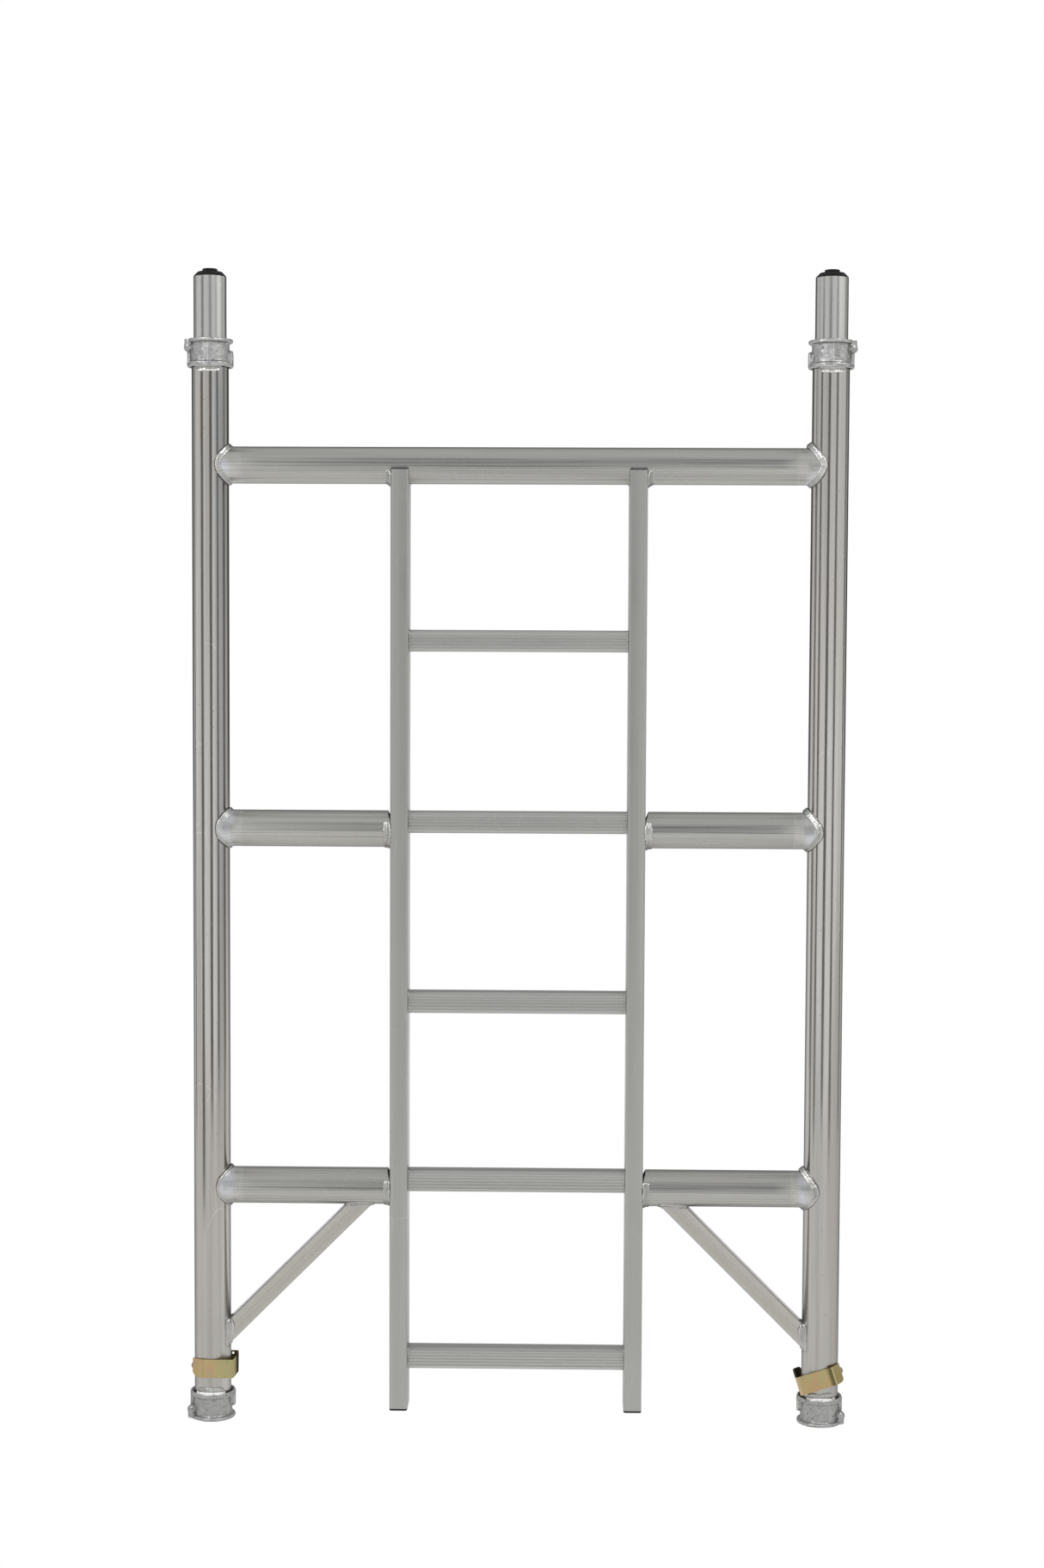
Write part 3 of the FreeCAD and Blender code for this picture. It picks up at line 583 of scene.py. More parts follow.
def weld_material(name):
    sh = new_shader(name)
    grain = sh.noise(scale=260.0, detail=4)
    cloud = sh.noise(scale=60.0, rough=0.55, shift=(4, 4, 2))
    base = sh.ramp(cloud, [(0.30, (0.42, 0.415, 0.40)), (0.55, (0.54, 0.54, 0.525)),
                           (0.75, (0.66, 0.66, 0.65))])
    base = sh.mix(sh.remap(grain, (0.55, 0.72), to=(0.0, 0.28)), base, (0.34, 0.33, 0.30))
    # painted highlights on ridges and painted shade in hollows
    ridges = sh.geometry("Pointiness")
    base = sh.mix(sh.remap(ridges, (0.512, 0.555), to=(0.0, 0.6)), base, (0.92, 0.92, 0.90))
    base = sh.mix(sh.remap(ridges, (0.49, 0.45), to=(0.0, 0.6)), base, (0.30, 0.30, 0.29))
    # painted highlights: white patches low on the foot welds and on the lower edge of the top
    # collar welds
    z = sh.split()[2]
    patches = sh.noise(scale=95.0, detail=2, rough=0.5, shift=(6, 3, 9))
    low = sh.mul(sh.remap(z, (0.0418, 0.0408)), sh.remap(patches, (0.44, 0.50)))
    lip = sh.mul(sh.remap(z, (1.4560, 1.4570), to=(1.0, 0.0)), sh.remap(z, (1.40, 1.41)))
    painted_highlight = sh.math("MAXIMUM", low, sh.mul(lip, 0.75))
    base = sh.mix(painted_highlight, base, (0.95, 0.95, 0.94))
    # painted dark reflection along the outline, weaker on the painted highlights
    painted_dark_outline = sh.mul(sh.ease(sh.facing(), (0.36, 0.62)), sh.sub(1.0, sh.mul(painted_highlight, 0.6)))
    base = sh.mix(sh.mul(painted_dark_outline, 0.55), base, (0.13, 0.13, 0.125))
    return sh.finish({"Base Color": base,
                      "Metallic": sh.remap(painted_highlight, (0.0, 1.0), to=(1.0, 0.45)),
                      "Roughness": sh.remap(grain, (0.3, 0.7), to=(0.27, 0.40)),
                      "Normal": sh.bump(grain, strength=0.14, distance=0.0004),
                      "Specular Tint": (0.5, 0.5, 0.5)})


def pin_material(name):
    sh = new_shader(name)
    mottle = sh.noise(scale=160.0)
    base = sh.ramp(mottle, [(0.3, (0.22, 0.20, 0.16)), (0.55, (0.38, 0.35, 0.27)),
                            (0.75, (0.50, 0.46, 0.36))])
    return sh.finish({"Base Color": base, "Metallic": 1.0,
                      "Roughness": sh.remap(mottle, (0.3, 0.7), to=(0.28, 0.45)),
                      "Normal": sh.bump(mottle, strength=0.3, distance=0.0002)})


def plastic_material(name):
    sh = new_shader(name)
    grain = sh.noise(scale=300.0, detail=4)
    cloud = sh.noise(scale=40.0, shift=(3, 3, 3))
    base = sh.ramp(cloud, [(0.35, (0.006, 0.006, 0.007)), (0.60, (0.010, 0.010, 0.011)),
                           (0.8, (0.022, 0.021, 0.020))])
    return sh.finish({"Base Color": base, "Metallic": 0.0, "Specular IOR Level": 0.22,
                      "Roughness": sh.remap(cloud, (0.3, 0.7), to=(0.45, 0.65)),
                      "Normal": sh.bump(grain, strength=0.20, distance=0.0002)})


for name, look in MILL_METALS.items():
    FINISHES[name] = mill_metal(name, **look)
for name, build in (("cast_aluminium", cast_material), ("weld_metal", weld_material),
                    ("zinc_pin", pin_material), ("black_plastic", plastic_material)):
    FINISHES[name] = build(name)


# ------------------------------------------------------------------ standards and spigots
def build_standard(name, side):
    edge, steps = 0.3, 60
    bore = TUBE_R - WALL
    profile = [(bore, STANDARD_Z0), (TUBE_R - edge, STANDARD_Z0), (TUBE_R, STANDARD_Z0 + edge)]
    profile += [(TUBE_R, STANDARD_Z0 + (STANDARD_Z1 - STANDARD_Z0) * k / steps)
                for k in range(1, steps)]
    profile += [(TUBE_R, STANDARD_Z1 - edge), (TUBE_R - edge, STANDARD_Z1), (bore, STANDARD_Z1)]
    shape = lathe(profile, TUBE_SEGMENTS, (side * HALF_WIDTH, 0, 0), closed=True)
    ob = make(name, shape, "mill_tube")
    start = (side * (HALF_WIDTH + TUBE_R - 9), 0, PIN_Z)
    cut(ob, [drill(PIN_HOLE_R, 14, start, (side, 0, 0))])


def build_spigot(name, side):
    bottom, top = STANDARD_Z1 - 110.0, SPIGOT_TOP
    outer, bore = 22.5, 20.0
    profile = [(bore, bottom), (outer, bottom), (outer, top - 0.5), (outer - 0.5, top),
               (bore + 0.3, top), (bore, top - 0.3)]
    shape = lathe(profile, TUBE_SEGMENTS, (side * HALF_WIDTH, 0, 0), closed=True)
    ob = make(name, shape, "mill_spigot")
    start = (side * (HALF_WIDTH + 12), 0, MODULE + PIN_Z)
    cut(ob, [drill(PIN_HOLE_R, 14, start, (side, 0, 0))])


# radius, height above the spigot's top
SPIGOT_PLUG = (
    (0.02, -13.8), (19.6, -13.8), (19.7, -13), (19.75, -0.1), (21.7, 0.02), (22.15, 0.25),
    (22.15, 0.75), (21.9, 1.1), (19.6, 3.5), (17.2, 6.0), (16.7, 6.35), (16.2, 6.5),
    (13.0, 6.45), (11.2, 6.5), (10.7, 6.7), (10.5, 7.1), (10.35, 9.9), (10.1, 10.4),
    (9.6, 10.7), (8.0, 10.75), (3.2, 10.6), (2.2, 10.2), (0.02, 10.0),
)


def build_spigot_plug(name, side):
    profile = [(radius, SPIGOT_TOP + z) for radius, z in SPIGOT_PLUG]
    shape = lathe(profile, TUBE_SEGMENTS // 2, (side * HALF_WIDTH, 0, 0))
    make(name, shape, "black_plastic", sharp=50)


for word, side in SIDES:
    build_standard(word + "_standard", side)
for word, side in SIDES:
    build_spigot(word + "_spigot", side)
    build_spigot_plug(word + "_spigot_plug", side)

# ------------------------------------------------------------------ ledgers
LEDGER_TWIST = 9.5                  # degrees the ribs are turned about the tube
LEDGER_GROOVES = dict(count=9, pitch=7.8, half=2.35, depth=0.5)     # pitch, half in degrees
# distances from an end at which rings are placed
END_STATIONS = [0.0, 3.0, 6.0, 9.0, 12.0, 15.0, 18.0, 21.0, 24.0, 27.0, 30.0, 34.0, 38.0]
PLAIN_STATIONS = [0.0, 4.0]


def ledger_profile():
    """(cosine, sine, groove depth) around the section; ribs face the rear and the front."""
    count = int(round(360 / (1.3)))
    profile = []
    for i in range(count):
        degrees = 360.0 * i / count
        depth = max(groove_depth((degrees - face + 180) % 360 - 180, **LEDGER_GROOVES)
                    for face in (0.0, 180.0))
        angle = math.radians(degrees + LEDGER_TWIST)
        profile.append((math.cos(angle), math.sin(angle), depth))
    return profile


LEDGER_PROFILE = ledger_profile()


def ledger_shape(start, end, z, start_stations):
    """start and end give the x of a tube end at (y, height) in the section.

    The ribs melt away beside a standard, and the tube swells towards +x.
    """
    length = end(TUBE_R, 0) - start(TUBE_R, 0)
    first = [d / length for d in start_stations]
    last = [1 - d / length for d in END_STATIONS][::-1]
    middle = [first[-1] + (last[0] - first[-1]) * k / 6 for k in range(1, 6)]

    def x_at(y, height, fraction):
        return start(y, height) + (end(y, height) - start(y, height)) * fraction

    rings = []
    for fraction in first + middle + last:
        ring = []
        for cosine, sine, groove in LEDGER_PROFILE:
            x = x_at(TUBE_R * cosine, TUBE_R * sine, fraction)
            radius = TUBE_R - groove * smoothstep((HALF_WIDTH - abs(x) - 31.0) / 13.0)
            if x > 0:
                radius += 2.0 * smoothstep((34.0 - (HALF_WIDTH - x)) / 18.0)
            ring.append((x, radius * cosine, z + radius * sine))
        rings.append(ring)
    bore = [((TUBE_R - WALL) * cosine, (TUBE_R - WALL) * sine)
            for cosine, sine, _ in LEDGER_PROFILE]
    for fraction in (1.0, 0.5, 0.0):
        rings.append([(x_at(y, height, fraction), y, z + height) for y, height in bore])
    return loft(rings, closed=True)


def stub_start(y, height):
    """End at the stile: square, leaning away from it near the top."""
    x = STILE_OUT + GAP
    if height > 11.0:
        x += 4.6 * (height - 11.0) / 14.4
    return x


def end_right(y, height):
    return HALF_WIDTH - max(coped(y), 9.0)


def end_left(y, height):
    return HALF_WIDTH - max(coped(y), 11.4)


shape = ledger_shape(lambda y, height: -end_left(y, height), end_right, LEDGER_Z[0],
                     END_STATIONS)
make("top_ledger", shape, "ribbed_tube", sharp=60)
for word, z in (("mid", LEDGER_Z[1]), ("low", LEDGER_Z[2])):
    for hand, side, end in (("right", 1, end_right), ("left", -1, end_left)):
        shape = mirrored(ledger_shape(stub_start, end, z, PLAIN_STATIONS), side)
        make(f"{word}_ledger_{hand}", shape, "ribbed_tube", sharp=60)

# ------------------------------------------------------------------ knee braces
BRACE_W, BRACE_T = 25.0, 2.0
BRACE_START = Vector((HALF_WIDTH - TUBE_R, 0, 124.0))       # on the standard's inner side
BRACE_DIR = Vector((-1, 0, 1)).normalized()                 # inwards and up at 45 degrees
BRACE_U = Vector((0, 1, 0))
BRACE_V = BRACE_DIR.cross(BRACE_U).normalized()


def reach(point, centre, axis, radius, hit):
    """Distance along the brace from point to a cylinder; hit is -1 for near, 1 for far."""
    axis = Vector(axis)
    offset = point - Vector(centre)
    offset = offset - axis * offset.dot(axis)
    slope = BRACE_DIR - axis * BRACE_DIR.dot(axis)
    quad = slope.dot(slope)
    linear = 2 * offset.dot(slope)
    rest = offset.dot(offset) - radius * radius
    root = math.sqrt(max(0.0, linear * linear - 4 * quad * rest))
    return (-linear + hit * root) / (2 * quad)


def to_standard(point, clearance):
    return reach(point, (HALF_WIDTH, 0, 0), (0, 0, 1), TUBE_R + clearance, 1)


def to_ledger(point, clearance):
    return reach(point, (0, 0, LEDGER_Z[2]), (1, 0, 0), TUBE_R + clearance, -1)


def brace_point(across, up):
    return BRACE_START + BRACE_U * across + BRACE_V * up


def build_brace(name, side):
    bore = BRACE_W - 2 * BRACE_T
    steps = 8
    rings = []
    for loop, stations in ((rounded_rect(BRACE_W, BRACE_W, 2.2), range(steps + 1)),
                           (rounded_rect(bore, bore, 0.6), range(steps, -1, -1))):
        for k in stations:
            ring = []
            for across, up in loop:
                point = brace_point(across, up)
                start, end = to_standard(point, GAP), to_ledger(point, GAP)
                ring.append(tuple(point + BRACE_DIR * (start + (end - start) * k / steps)))
            rings.append(ring)
    make(name, mirrored(loft(rings, closed=True), side), "brace_tube", sharp=50)


for word, side in SIDES:
    build_brace("knee_brace_" + word, side)

# ------------------------------------------------------------------ ladder
COPE_START = 1290.0                 # above this the stile's rings bend to meet the top ledger
STILE_TOP = 1324.0


def rung_bulge(z):
    """Outward swelling of the stile's outer wall beside each rung, 0 to 1."""
    swelling = 0.0
    for rung in RUNG_Z:
        away = abs(z - rung) / 19.0
        if away < 1:
            swelling = max(swelling, (0.5 + 0.5 * math.cos(math.pi * away)) ** 0.6)
    return swelling


def stile_shape():
    outer = rounded_rect(STILE_W, STILE_D, 3.0, 6)
    inner = rounded_rect(STILE_W - 2 * STILE_T, STILE_D - 2 * STILE_T, 1.2, 6)
    z = STILE_FOOT + 0.35
    levels = [STILE_FOOT, z]
    while z < COPE_START:
        z += 3.0 if min(abs(z - rung) for rung in RUNG_Z) < 26 else 14.0
        levels.append(min(z, COPE_START))
    fractions = [0.0, 0.25, 0.5, 0.75, 0.9, 1.0]

    def flat(z):
        return lambda y: z

    def towards_top(fraction):
        def height(y):
            top = STILE_TOP
            if y + STILE_Y >= -TUBE_R:
                top = min(top, LEDGER_Z[0] - coped(y + STILE_Y))
            return COPE_START + (top - COPE_START) * fraction
        return height

    def ring(loop, height, outside, shrink=0.0):
        points = []
        for x, y in loop:
            z = height(y)
            if outside and x > STILE_W / 2 - 3.5:
                x += 1.05 * rung_bulge(z) * max(0.0, 1 - (abs(y) / 22.0) ** 3)
            points.append((STILE_X + x * (1 - shrink), STILE_Y + y * (1 - shrink), z))
        return points

    rings = [ring(outer, flat(levels[0]), True, shrink=0.02)]
    rings += [ring(outer, flat(z), True) for z in levels[1:]]
    rings += [ring(outer, towards_top(f), True) for f in fractions[1:]]
    rings += [ring(inner, towards_top(f), False) for f in reversed(fractions)]
    rings += [ring(inner, flat(z), False) for z in reversed(levels[::6])]
    return loft(rings, closed=True)


# width, depth, corner radius, z
STILE_PLUG = (
    (18, 42, 1.0, 33.6), (20.6, 45.6, 1.2, 31), (20.7, 45.7, 1.2, 20.02),
    (24.6, 49.6, 3.0, 20.0), (24.8, 49.8, 3.0, 19.6), (24.8, 49.8, 3.0, 18.4),
    (24.2, 49.2, 2.8, 17.8), (23.2, 48.2, 2.4, 17.5),
)


def stile_plug_shape():
    return loft([[(STILE_X + x, STILE_Y + y, z) for x, y in rounded_rect(width, depth, radius)]
                 for width, depth, radius, z in STILE_PLUG])


def rung_profile():
    """(y, z) loop with five grooves on the front and rear faces."""
    radius = 6.0
    flat = RUNG_HALF - radius
    steps = 60
    loop = []

    def corner(y, z, start):
        angles = [math.radians(start + 90 * k / 8) for k in range(1, 8)]
        return [(y + radius * math.cos(a), z + radius * math.sin(a)) for a in angles]

    for sign, start in ((1, 0), (-1, 180)):
        for i in range(steps + 1):
            z = (-flat + 2 * flat * i / steps) * sign
            groove = groove_depth(z, count=5, pitch=4.2, half=1.15, depth=0.85)
            loop.append((sign * (RUNG_HALF - groove), z))
        loop += corner(sign * flat, sign * flat, start)
        loop += [(sign * flat, sign * RUNG_HALF), (-sign * flat, sign * RUNG_HALF)]
        loop += corner(-sign * flat, sign * flat, start + 90)
    return loop


def build_rungs():
    profile = rung_profile()
    half = STILE_OUT - STILE_T - GAP
    for i, rung in enumerate(RUNG_Z):
        rings = [[(-half + 2 * half * k / 6, STILE_Y + y, rung + z) for y, z in profile]
                 for k in range(7)]
        make(f"ladder_rung_{i + 1}", loft(rings), "ladder_rung", sharp=50)


for word, side in SIDES:
    make("ladder_stile_" + word, mirrored(stile_shape(), side), "ladder_stile", sharp=40)
for word, side in SIDES:
    make("stile_foot_plug_" + word, mirrored(stile_plug_shape(), side), "black_plastic",
         sharp=50)
build_rungs()

# ------------------------------------------------------------------ weld beads
# stations across a bead, as fractions of its half-width
BEAD_TOP = [-1.0, -0.96, -0.86, -0.72, -0.5, -0.25, 0.0, 0.25, 0.5, 0.72, 0.86, 0.96, 1.0]
BEAD_UNDERSIDE = [0.7, 0.3, -0.3, -0.7]
BEAD_SINK = 0.25


def resample(path, step, closed):
    """Evenly spaced points along a path, and its length."""
    points = [Vector(point) for point in path]
    if closed:
        points.append(points[0].copy())
    runs = [0.0]
    for before, after in zip(points, points[1:]):
        runs.append(runs[-1] + (after - before).length)
    total = runs[-1]
    count = max(4, int(round(total / step)))
    spaced, j = [], 0
    for i in range(count if closed else count + 1):
        run = total * i / count
        while j < len(runs) - 2 and runs[j + 1] < run:
            j += 1
        fraction = (run - runs[j]) / max(1e-9, runs[j + 1] - runs[j])
        spaced.append(points[j].lerp(points[j + 1], fraction))
    return spaced, total


def bead(path, normal_at, width, height, pitch=2.2, seed=0, closed=False, lump=0.10,
         ripple=0.05, wobble=0.4, dish=0.45, lean=None):
    """Weld bead along path: dished between two ridges, rippled, partly sunk in the metal.

    lump, ripple and wobble set its unevenness in size, along its top and sideways.
    lean is a (direction, distance) pair that shifts the bead where it faces front or rear.
    """
    points, length = resample(path, 0.6, closed)
    count = len(points)
    rings = []
    for i, point in enumerate(points):
        before = points[i - 1] if closed else points[max(i - 1, 0)]
        after = points[(i + 1) % count] if closed else points[min(i + 1, count - 1)]
        along = (after - before).normalized()
        normal = Vector(normal_at(point)).normalized()
        normal = (normal - along * normal.dot(along)).normalized()
        across = along.cross(normal)
        run = length * i / count
        swell = noise.noise(point * 0.14 + Vector((seed * 7.1, 0, 0)))
        rough = noise.noise(point * 0.40 + Vector((0, seed * 3.3, 4.0)))
        sway = noise.noise(point * 0.11 + Vector((3.0, seed * 2.0, 0)))
        shift = across * (wobble * sway * 2)
        slim = 1.0
        if lean is not None:
            aside = Vector(lean[0])
            aside = aside - along * along.dot(aside) - normal * normal.dot(aside)
            sign = 1.0 if normal.y < 0 else -0.25
            shift = shift + aside.normalized() * (lean[1] * abs(normal.y) ** 1.5 * sign)
            slim = 0.45 + 0.55 * abs(normal.y)
        taper = 1.0
        if not closed:
            near = min(1.0, min(run, length - run) / (width * 0.6))
            taper = math.sqrt(max(0.0, 1 - (1 - near) ** 2)) * 0.95 + 0.05
        scale = 1 + lump * (1.5 * swell + 0.6 * rough)
        centre = point + shift
        half = width / 2 * scale * taper * slim
        ring = []
        for c in BEAD_TOP:
            crown = (1 - dish * 0.6 + dish * c * c) * (1 - abs(c) ** 8)
            phase = (run + 0.30 * width * c * c) / pitch
            wave = ripple * math.sin(2 * math.pi * phase) * (1 - c * c)
            small = 0.10 * noise.noise(point * 0.9 + normal * c * 2 + Vector((seed, 1.0, 2.0)))
            up = height * (crown + wave + small * (1 - abs(c) ** 4)) * scale * taper
            ring.append(tuple(centre + across * (c * half)
                              + normal * (up * (0.6 + 0.4 * slim) - BEAD_SINK)))
        for c in BEAD_UNDERSIDE:
            down = 0.55 * height * (1 - c * c) * taper + BEAD_SINK
            ring.append(tuple(centre + across * (c * half) - normal * down))
        rings.append(ring)
    return loft(rings, closed)


def build_welds(name, parts):
    make(name, merge(parts), "weld_metal", sharp=80)


def sweep(start, end, count=60):
    """Evenly spaced angles in radians, from degrees."""
    return [math.radians(start + (end - start) * k / (count - 1)) for k in range(count)]


def from_ledger(point, z):
    """Unit vector out of a ledger at height z."""
    return Vector((0, point.y, point.z - z)).normalized()


def from_standard(point, x):
    """Unit vector out of a standard at x."""
    return Vector((point.x - x, point.y, 0)).normalized()


def ledger_weld(side, z, closest, width, height, seed, lift, dish):
    """Closed bead round a ledger's end; lift raises its top."""
    path = []
    for k in range(180):
        angle = 2 * math.pi * k / 180
        cosine = math.cos(angle)
        away = math.sqrt((TUBE_R * cosine) ** 2 + closest ** 2)
        up = lift * max(0.0, cosine) ** 6
        radius = TUBE_R + 0.2 - 1.3 * abs(cosine) ** 6
        path.append((side * (HALF_WIDTH - away - 0.2), radius * math.sin(angle),
                     z + (radius + up) * cosine))

    def normal(point):
        return from_ledger(point, z) + from_standard(point, side * HALF_WIDTH) * 0.8

    return bead(path, normal, width, height, pitch=2.6, seed=seed, closed=True,
                ripple=0.025, wobble=0.3, dish=dish)


parts = []
for k, z in enumerate(LEDGER_Z):
    parts.append(ledger_weld(-1, z, closest=12.8, width=8.4, height=2.9, seed=3 + k,
                             lift=0.6, dish=0.55))
    parts.append(ledger_weld(1, z, closest=10.2, width=9.6, height=3.9, seed=20 + k,
                             lift=4.6 if k == 0 else 3.4, dish=0.25))
build_welds("ledger_welds", parts)


def stub_weld(side, z, seed):
    """Long bead under the front of a stub's end and a shorter one at the rear."""
    parts = []
    radius = TUBE_R + 0.2
    for start, end, seed_step in ((151, 318, 0), (28, -38, 5)):
        path = []
        for angle in sweep(start, end):
            y = max(-26.0, min(22.0, radius * math.cos(angle)))
            path.append((side * (STILE_OUT + 4.2), y, z + radius * math.sin(angle)))

        def normal(point):
            return from_ledger(point, z) + Vector((side * 0.25, 0, 0))

        parts.append(bead(path, normal, 10.4, 2.3, seed=seed + seed_step, lump=0.22,
                          ripple=0.10, wobble=0.6, dish=0.75))
    return merge(parts)


build_welds("stub_welds", [stub_weld(side, z, i * 4 + 31 + (0 if side < 0 else 2))
                           for i, z in enumerate(LEDGER_Z[1:]) for side in (-1, 1)])


def stile_top_weld(side, seed):
    """Beads under the top ledger on the inner and outer faces of a stile."""
    parts = []
    z = LEDGER_Z[0]
    radius = TUBE_R + 0.3
    # face (-1 inner, 1 outer), distance off the face, first angle, bead width
    for face, off, start, width in ((-1, 0.6, 282, 5.0), (1, 3.9, 197, 10.8)):
        x = side * (STILE_X + face * (STILE_W / 2 + off))
        path = [(x, radius * math.cos(angle), z + radius * math.sin(angle))
                for angle in sweep(start, 318)]

        def normal(point):
            return from_ledger(point, z) + Vector((side * face * 0.6, 0, 0))

        parts.append(bead(path, normal, width, 2.6, pitch=2.0, seed=seed + face, lump=0.22,
                          ripple=0.06, wobble=0.5, dish=0.7))
    return merge(parts)


build_welds("stile_top_welds", [stile_top_weld(-1, 51), stile_top_weld(1, 57)])


def collar_rear_weld(side, foot, seed):
    """Plain bead at the rear where the standard leaves its collar."""
    z = COLLAR_H + 2.0 if foot else MODULE - COLLAR_H - 2.0
    up = 1 if foot else -1
    radius = TUBE_R + 0.7
    path = [(side * HALF_WIDTH + radius * math.sin(angle), radius * math.cos(angle), z)
            for angle in sweep(-44, 44)]

    def normal(point):
        return from_standard(point, side * HALF_WIDTH) * 0.85 + Vector((0, 0, up * 0.5))

    return bead(path, normal, 4.4, 1.6, pitch=2.4, seed=seed, lump=0.2, wobble=0.3)


def collar_front_weld(side, foot, seed):
    """Smooth sheet along the front of the tube; at the foot it also has a thick rim bead."""
    rim, up = (COLLAR_H, 1) if foot else (MODULE - COLLAR_H, -1)
    half_angle = math.radians(47.0 if foot else 41.0)
    steps = 120
    rings = []
    for i in range(steps + 1):
        along = -1 + 2 * i / steps
        full = math.sqrt(max(0.0, 1 - abs(along) ** (7 if foot else 9)))
        slow = noise.noise(Vector((along * 3.1, seed * 1.7, 0.0)))
        medium = noise.noise(Vector((along * 6.3, 2.0, seed * 2.3)))
        quick = noise.noise(Vector((along * 11.0, seed * 0.9, 5.0)))
        top = 8.3 if foot else 6.9
        top *= (0.22 + 0.78 * full) * (1 + 0.16 * slow + 0.05 * quick)
        thick = 1.9 * (0.25 + 0.75 * full) * (1 + 0.3 * medium)
        lobe = (0.35 + 0.65 * full) * (1 + 0.35 * quick + 0.25 * slow)
        # (distance out from the tube, height from the collar's rim)
        if foot:
            profile = [
                (-0.3, top), (0.30 * thick, top + 0.05), (0.62 * thick, top - 0.25),
                (0.88 * thick, top - 0.8), (thick, top - 1.7),
                (1.06 * thick, 0.5 * (top + 3.2)), (thick, 3.4), (0.92 * thick, 2.9),
                (0.92 * thick + 0.7 * lobe, 2.75), (thick + 1.7 * lobe, 2.35),
                (thick + 2.5 * lobe, 1.6), (thick + 3.0 * lobe, 0.7),
                (thick + 3.1 * lobe, -0.1), (thick + 2.9 * lobe, -0.8), (1.2, -2.2),
                (-0.3, -2.0)]
        else:
            profile = [
                (-0.3, top), (0.35 * thick, top + 0.05), (0.75 * thick, top - 0.25),
                (1.02 * thick, top - 0.8), (1.1 * thick, top - 1.5), (thick, top - 2.3),
                (0.72 * thick, top - 3.0), (0.66 * thick, 2.4), (0.85 * thick, 1.5),
                (1.2 * thick + 0.5, 0.7), (1.3 * thick + 1.0, 0.1),
                (1.3 * thick + 1.0, -0.7), (1.2, -2.0), (-0.3, -1.8)]
        angle = along * half_angle + 0.012 * medium
        rings.append([(side * HALF_WIDTH + (TUBE_R + out) * math.sin(angle),
                       -(TUBE_R + out) * math.cos(angle), rim + up * z)
                      for out, z in profile])
    return loft(rings)


parts = []
for _, side in SIDES:
    for foot in (True, False):
        for weld in (collar_front_weld, collar_rear_weld):
            parts.append(weld(side, foot, seed=70 + 3 * len(parts)))
build_welds("collar_welds", parts)


def brace_weld(side, seed):
    """Closed beads round both ends of a knee brace."""
    loop = rounded_rect(BRACE_W + 1.0, BRACE_W + 1.0, 3.0)
    dense = []
    for (x0, y0), (x1, y1) in zip(loop, loop[1:] + loop[:1]):
        count = max(1, int(math.hypot(x1 - x0, y1 - y0) / 1.5))
        dense += [(x0 + (x1 - x0) * k / count, y0 + (y1 - y0) * k / count)
                  for k in range(count)]
    # distance function, surface normal and where its axis lies, weight of that normal,
    # bead width, lean, direction of the lean along the brace, seed step
    ends = (
        (to_standard, from_standard, HALF_WIDTH, 0.3, 11.6, 3.4, BRACE_DIR, 0),
        (to_ledger, from_ledger, LEDGER_Z[2], 0.6, 9.4, 1.2, -BRACE_DIR, 3),
    )
    parts = []
    for distance, from_tube, tube_at, weight, width, lean, inward, seed_step in ends:
        path = []
        for across, up in dense:
            point = brace_point(across, up)
            spot = point + BRACE_DIR * distance(point, 0.5)
            path.append((side * spot.x, spot.y, spot.z))

        def normal(point):
            spot = Vector((side * point.x, point.y, point.z))
            offset = spot - BRACE_START
            outward = offset - BRACE_DIR * offset.dot(BRACE_DIR)
            total = outward.normalized() + from_tube(spot, tube_at) * weight
            return Vector((side * total.x, total.y, total.z))

        parts.append(bead(path, normal, width, 2.3, pitch=1.7, seed=seed + seed_step,
                          closed=True, lump=0.08, ripple=0.07, wobble=0.25, dish=0.8,
                          lean=(Vector((side * inward.x, inward.y, inward.z)), lean)))
    return merge(parts)


build_welds("brace_welds", [brace_weld(-1, 91), brace_weld(1, 97)])

# (radius, height) of a unit blob
BLOB = ((0.55, -0.82), (0.88, -0.45), (1.0, 0.0), (0.88, 0.45), (0.55, 0.82))


def rung_weld(side, z, seed):
    """Short beads at a rung's four corners and a column of blobs on its front face."""
    parts = []
    x = side * (STILE_X - STILE_W / 2 - 0.4)
    half = RUNG_HALF + 0.1
    draw = random.Random(seed)

    def normal(point):
        outward = Vector((0, point.y - STILE_Y, point.z - z)).normalized()
        return Vector((-side * 0.9, 0, 0)) + outward

    for start, end in ((120, 150), (60, 30), (-120, -150), (-60, -30)):
        path = []
        for k in range(14):
            angle = math.radians(start + (end - start) * k / 13 + draw.uniform(-1, 1))
            cosine, sine = math.cos(angle), math.sin(angle)
            # superellipse close to the rung's outline
            reach_out = (abs(cosine) ** 3.4 + abs(sine) ** 3.4) ** (-1 / 3.4)
            path.append((x, STILE_Y + half * cosine * reach_out, z + half * sine * reach_out))
        parts.append(bead(path, normal, 3.4, 1.3, pitch=1.6, seed=draw.random() * 40,
                          lump=0.2, ripple=0.08, wobble=0.2))
    height = -12.5
    while height < 13.0:
        radius = draw.uniform(0.75, 1.15)
        blob_x = x - side * draw.uniform(0.3, 0.8)
        blob_y = STILE_Y - RUNG_HALF + draw.uniform(-0.15, 0.15)
        profile = [(0.02, -radius), *((r * radius, h * radius) for r, h in BLOB),
                   (0.02, radius)]
        parts.append(lathe(profile, 10, (blob_x, blob_y, z + height)))
        height += draw.uniform(2.0, 3.0)
    return merge(parts)


build_welds("rung_welds", [rung_weld(side, z, 200 + 2 * i + (side > 0))
                           for i, z in enumerate(RUNG_Z) for side in (-1, 1)])


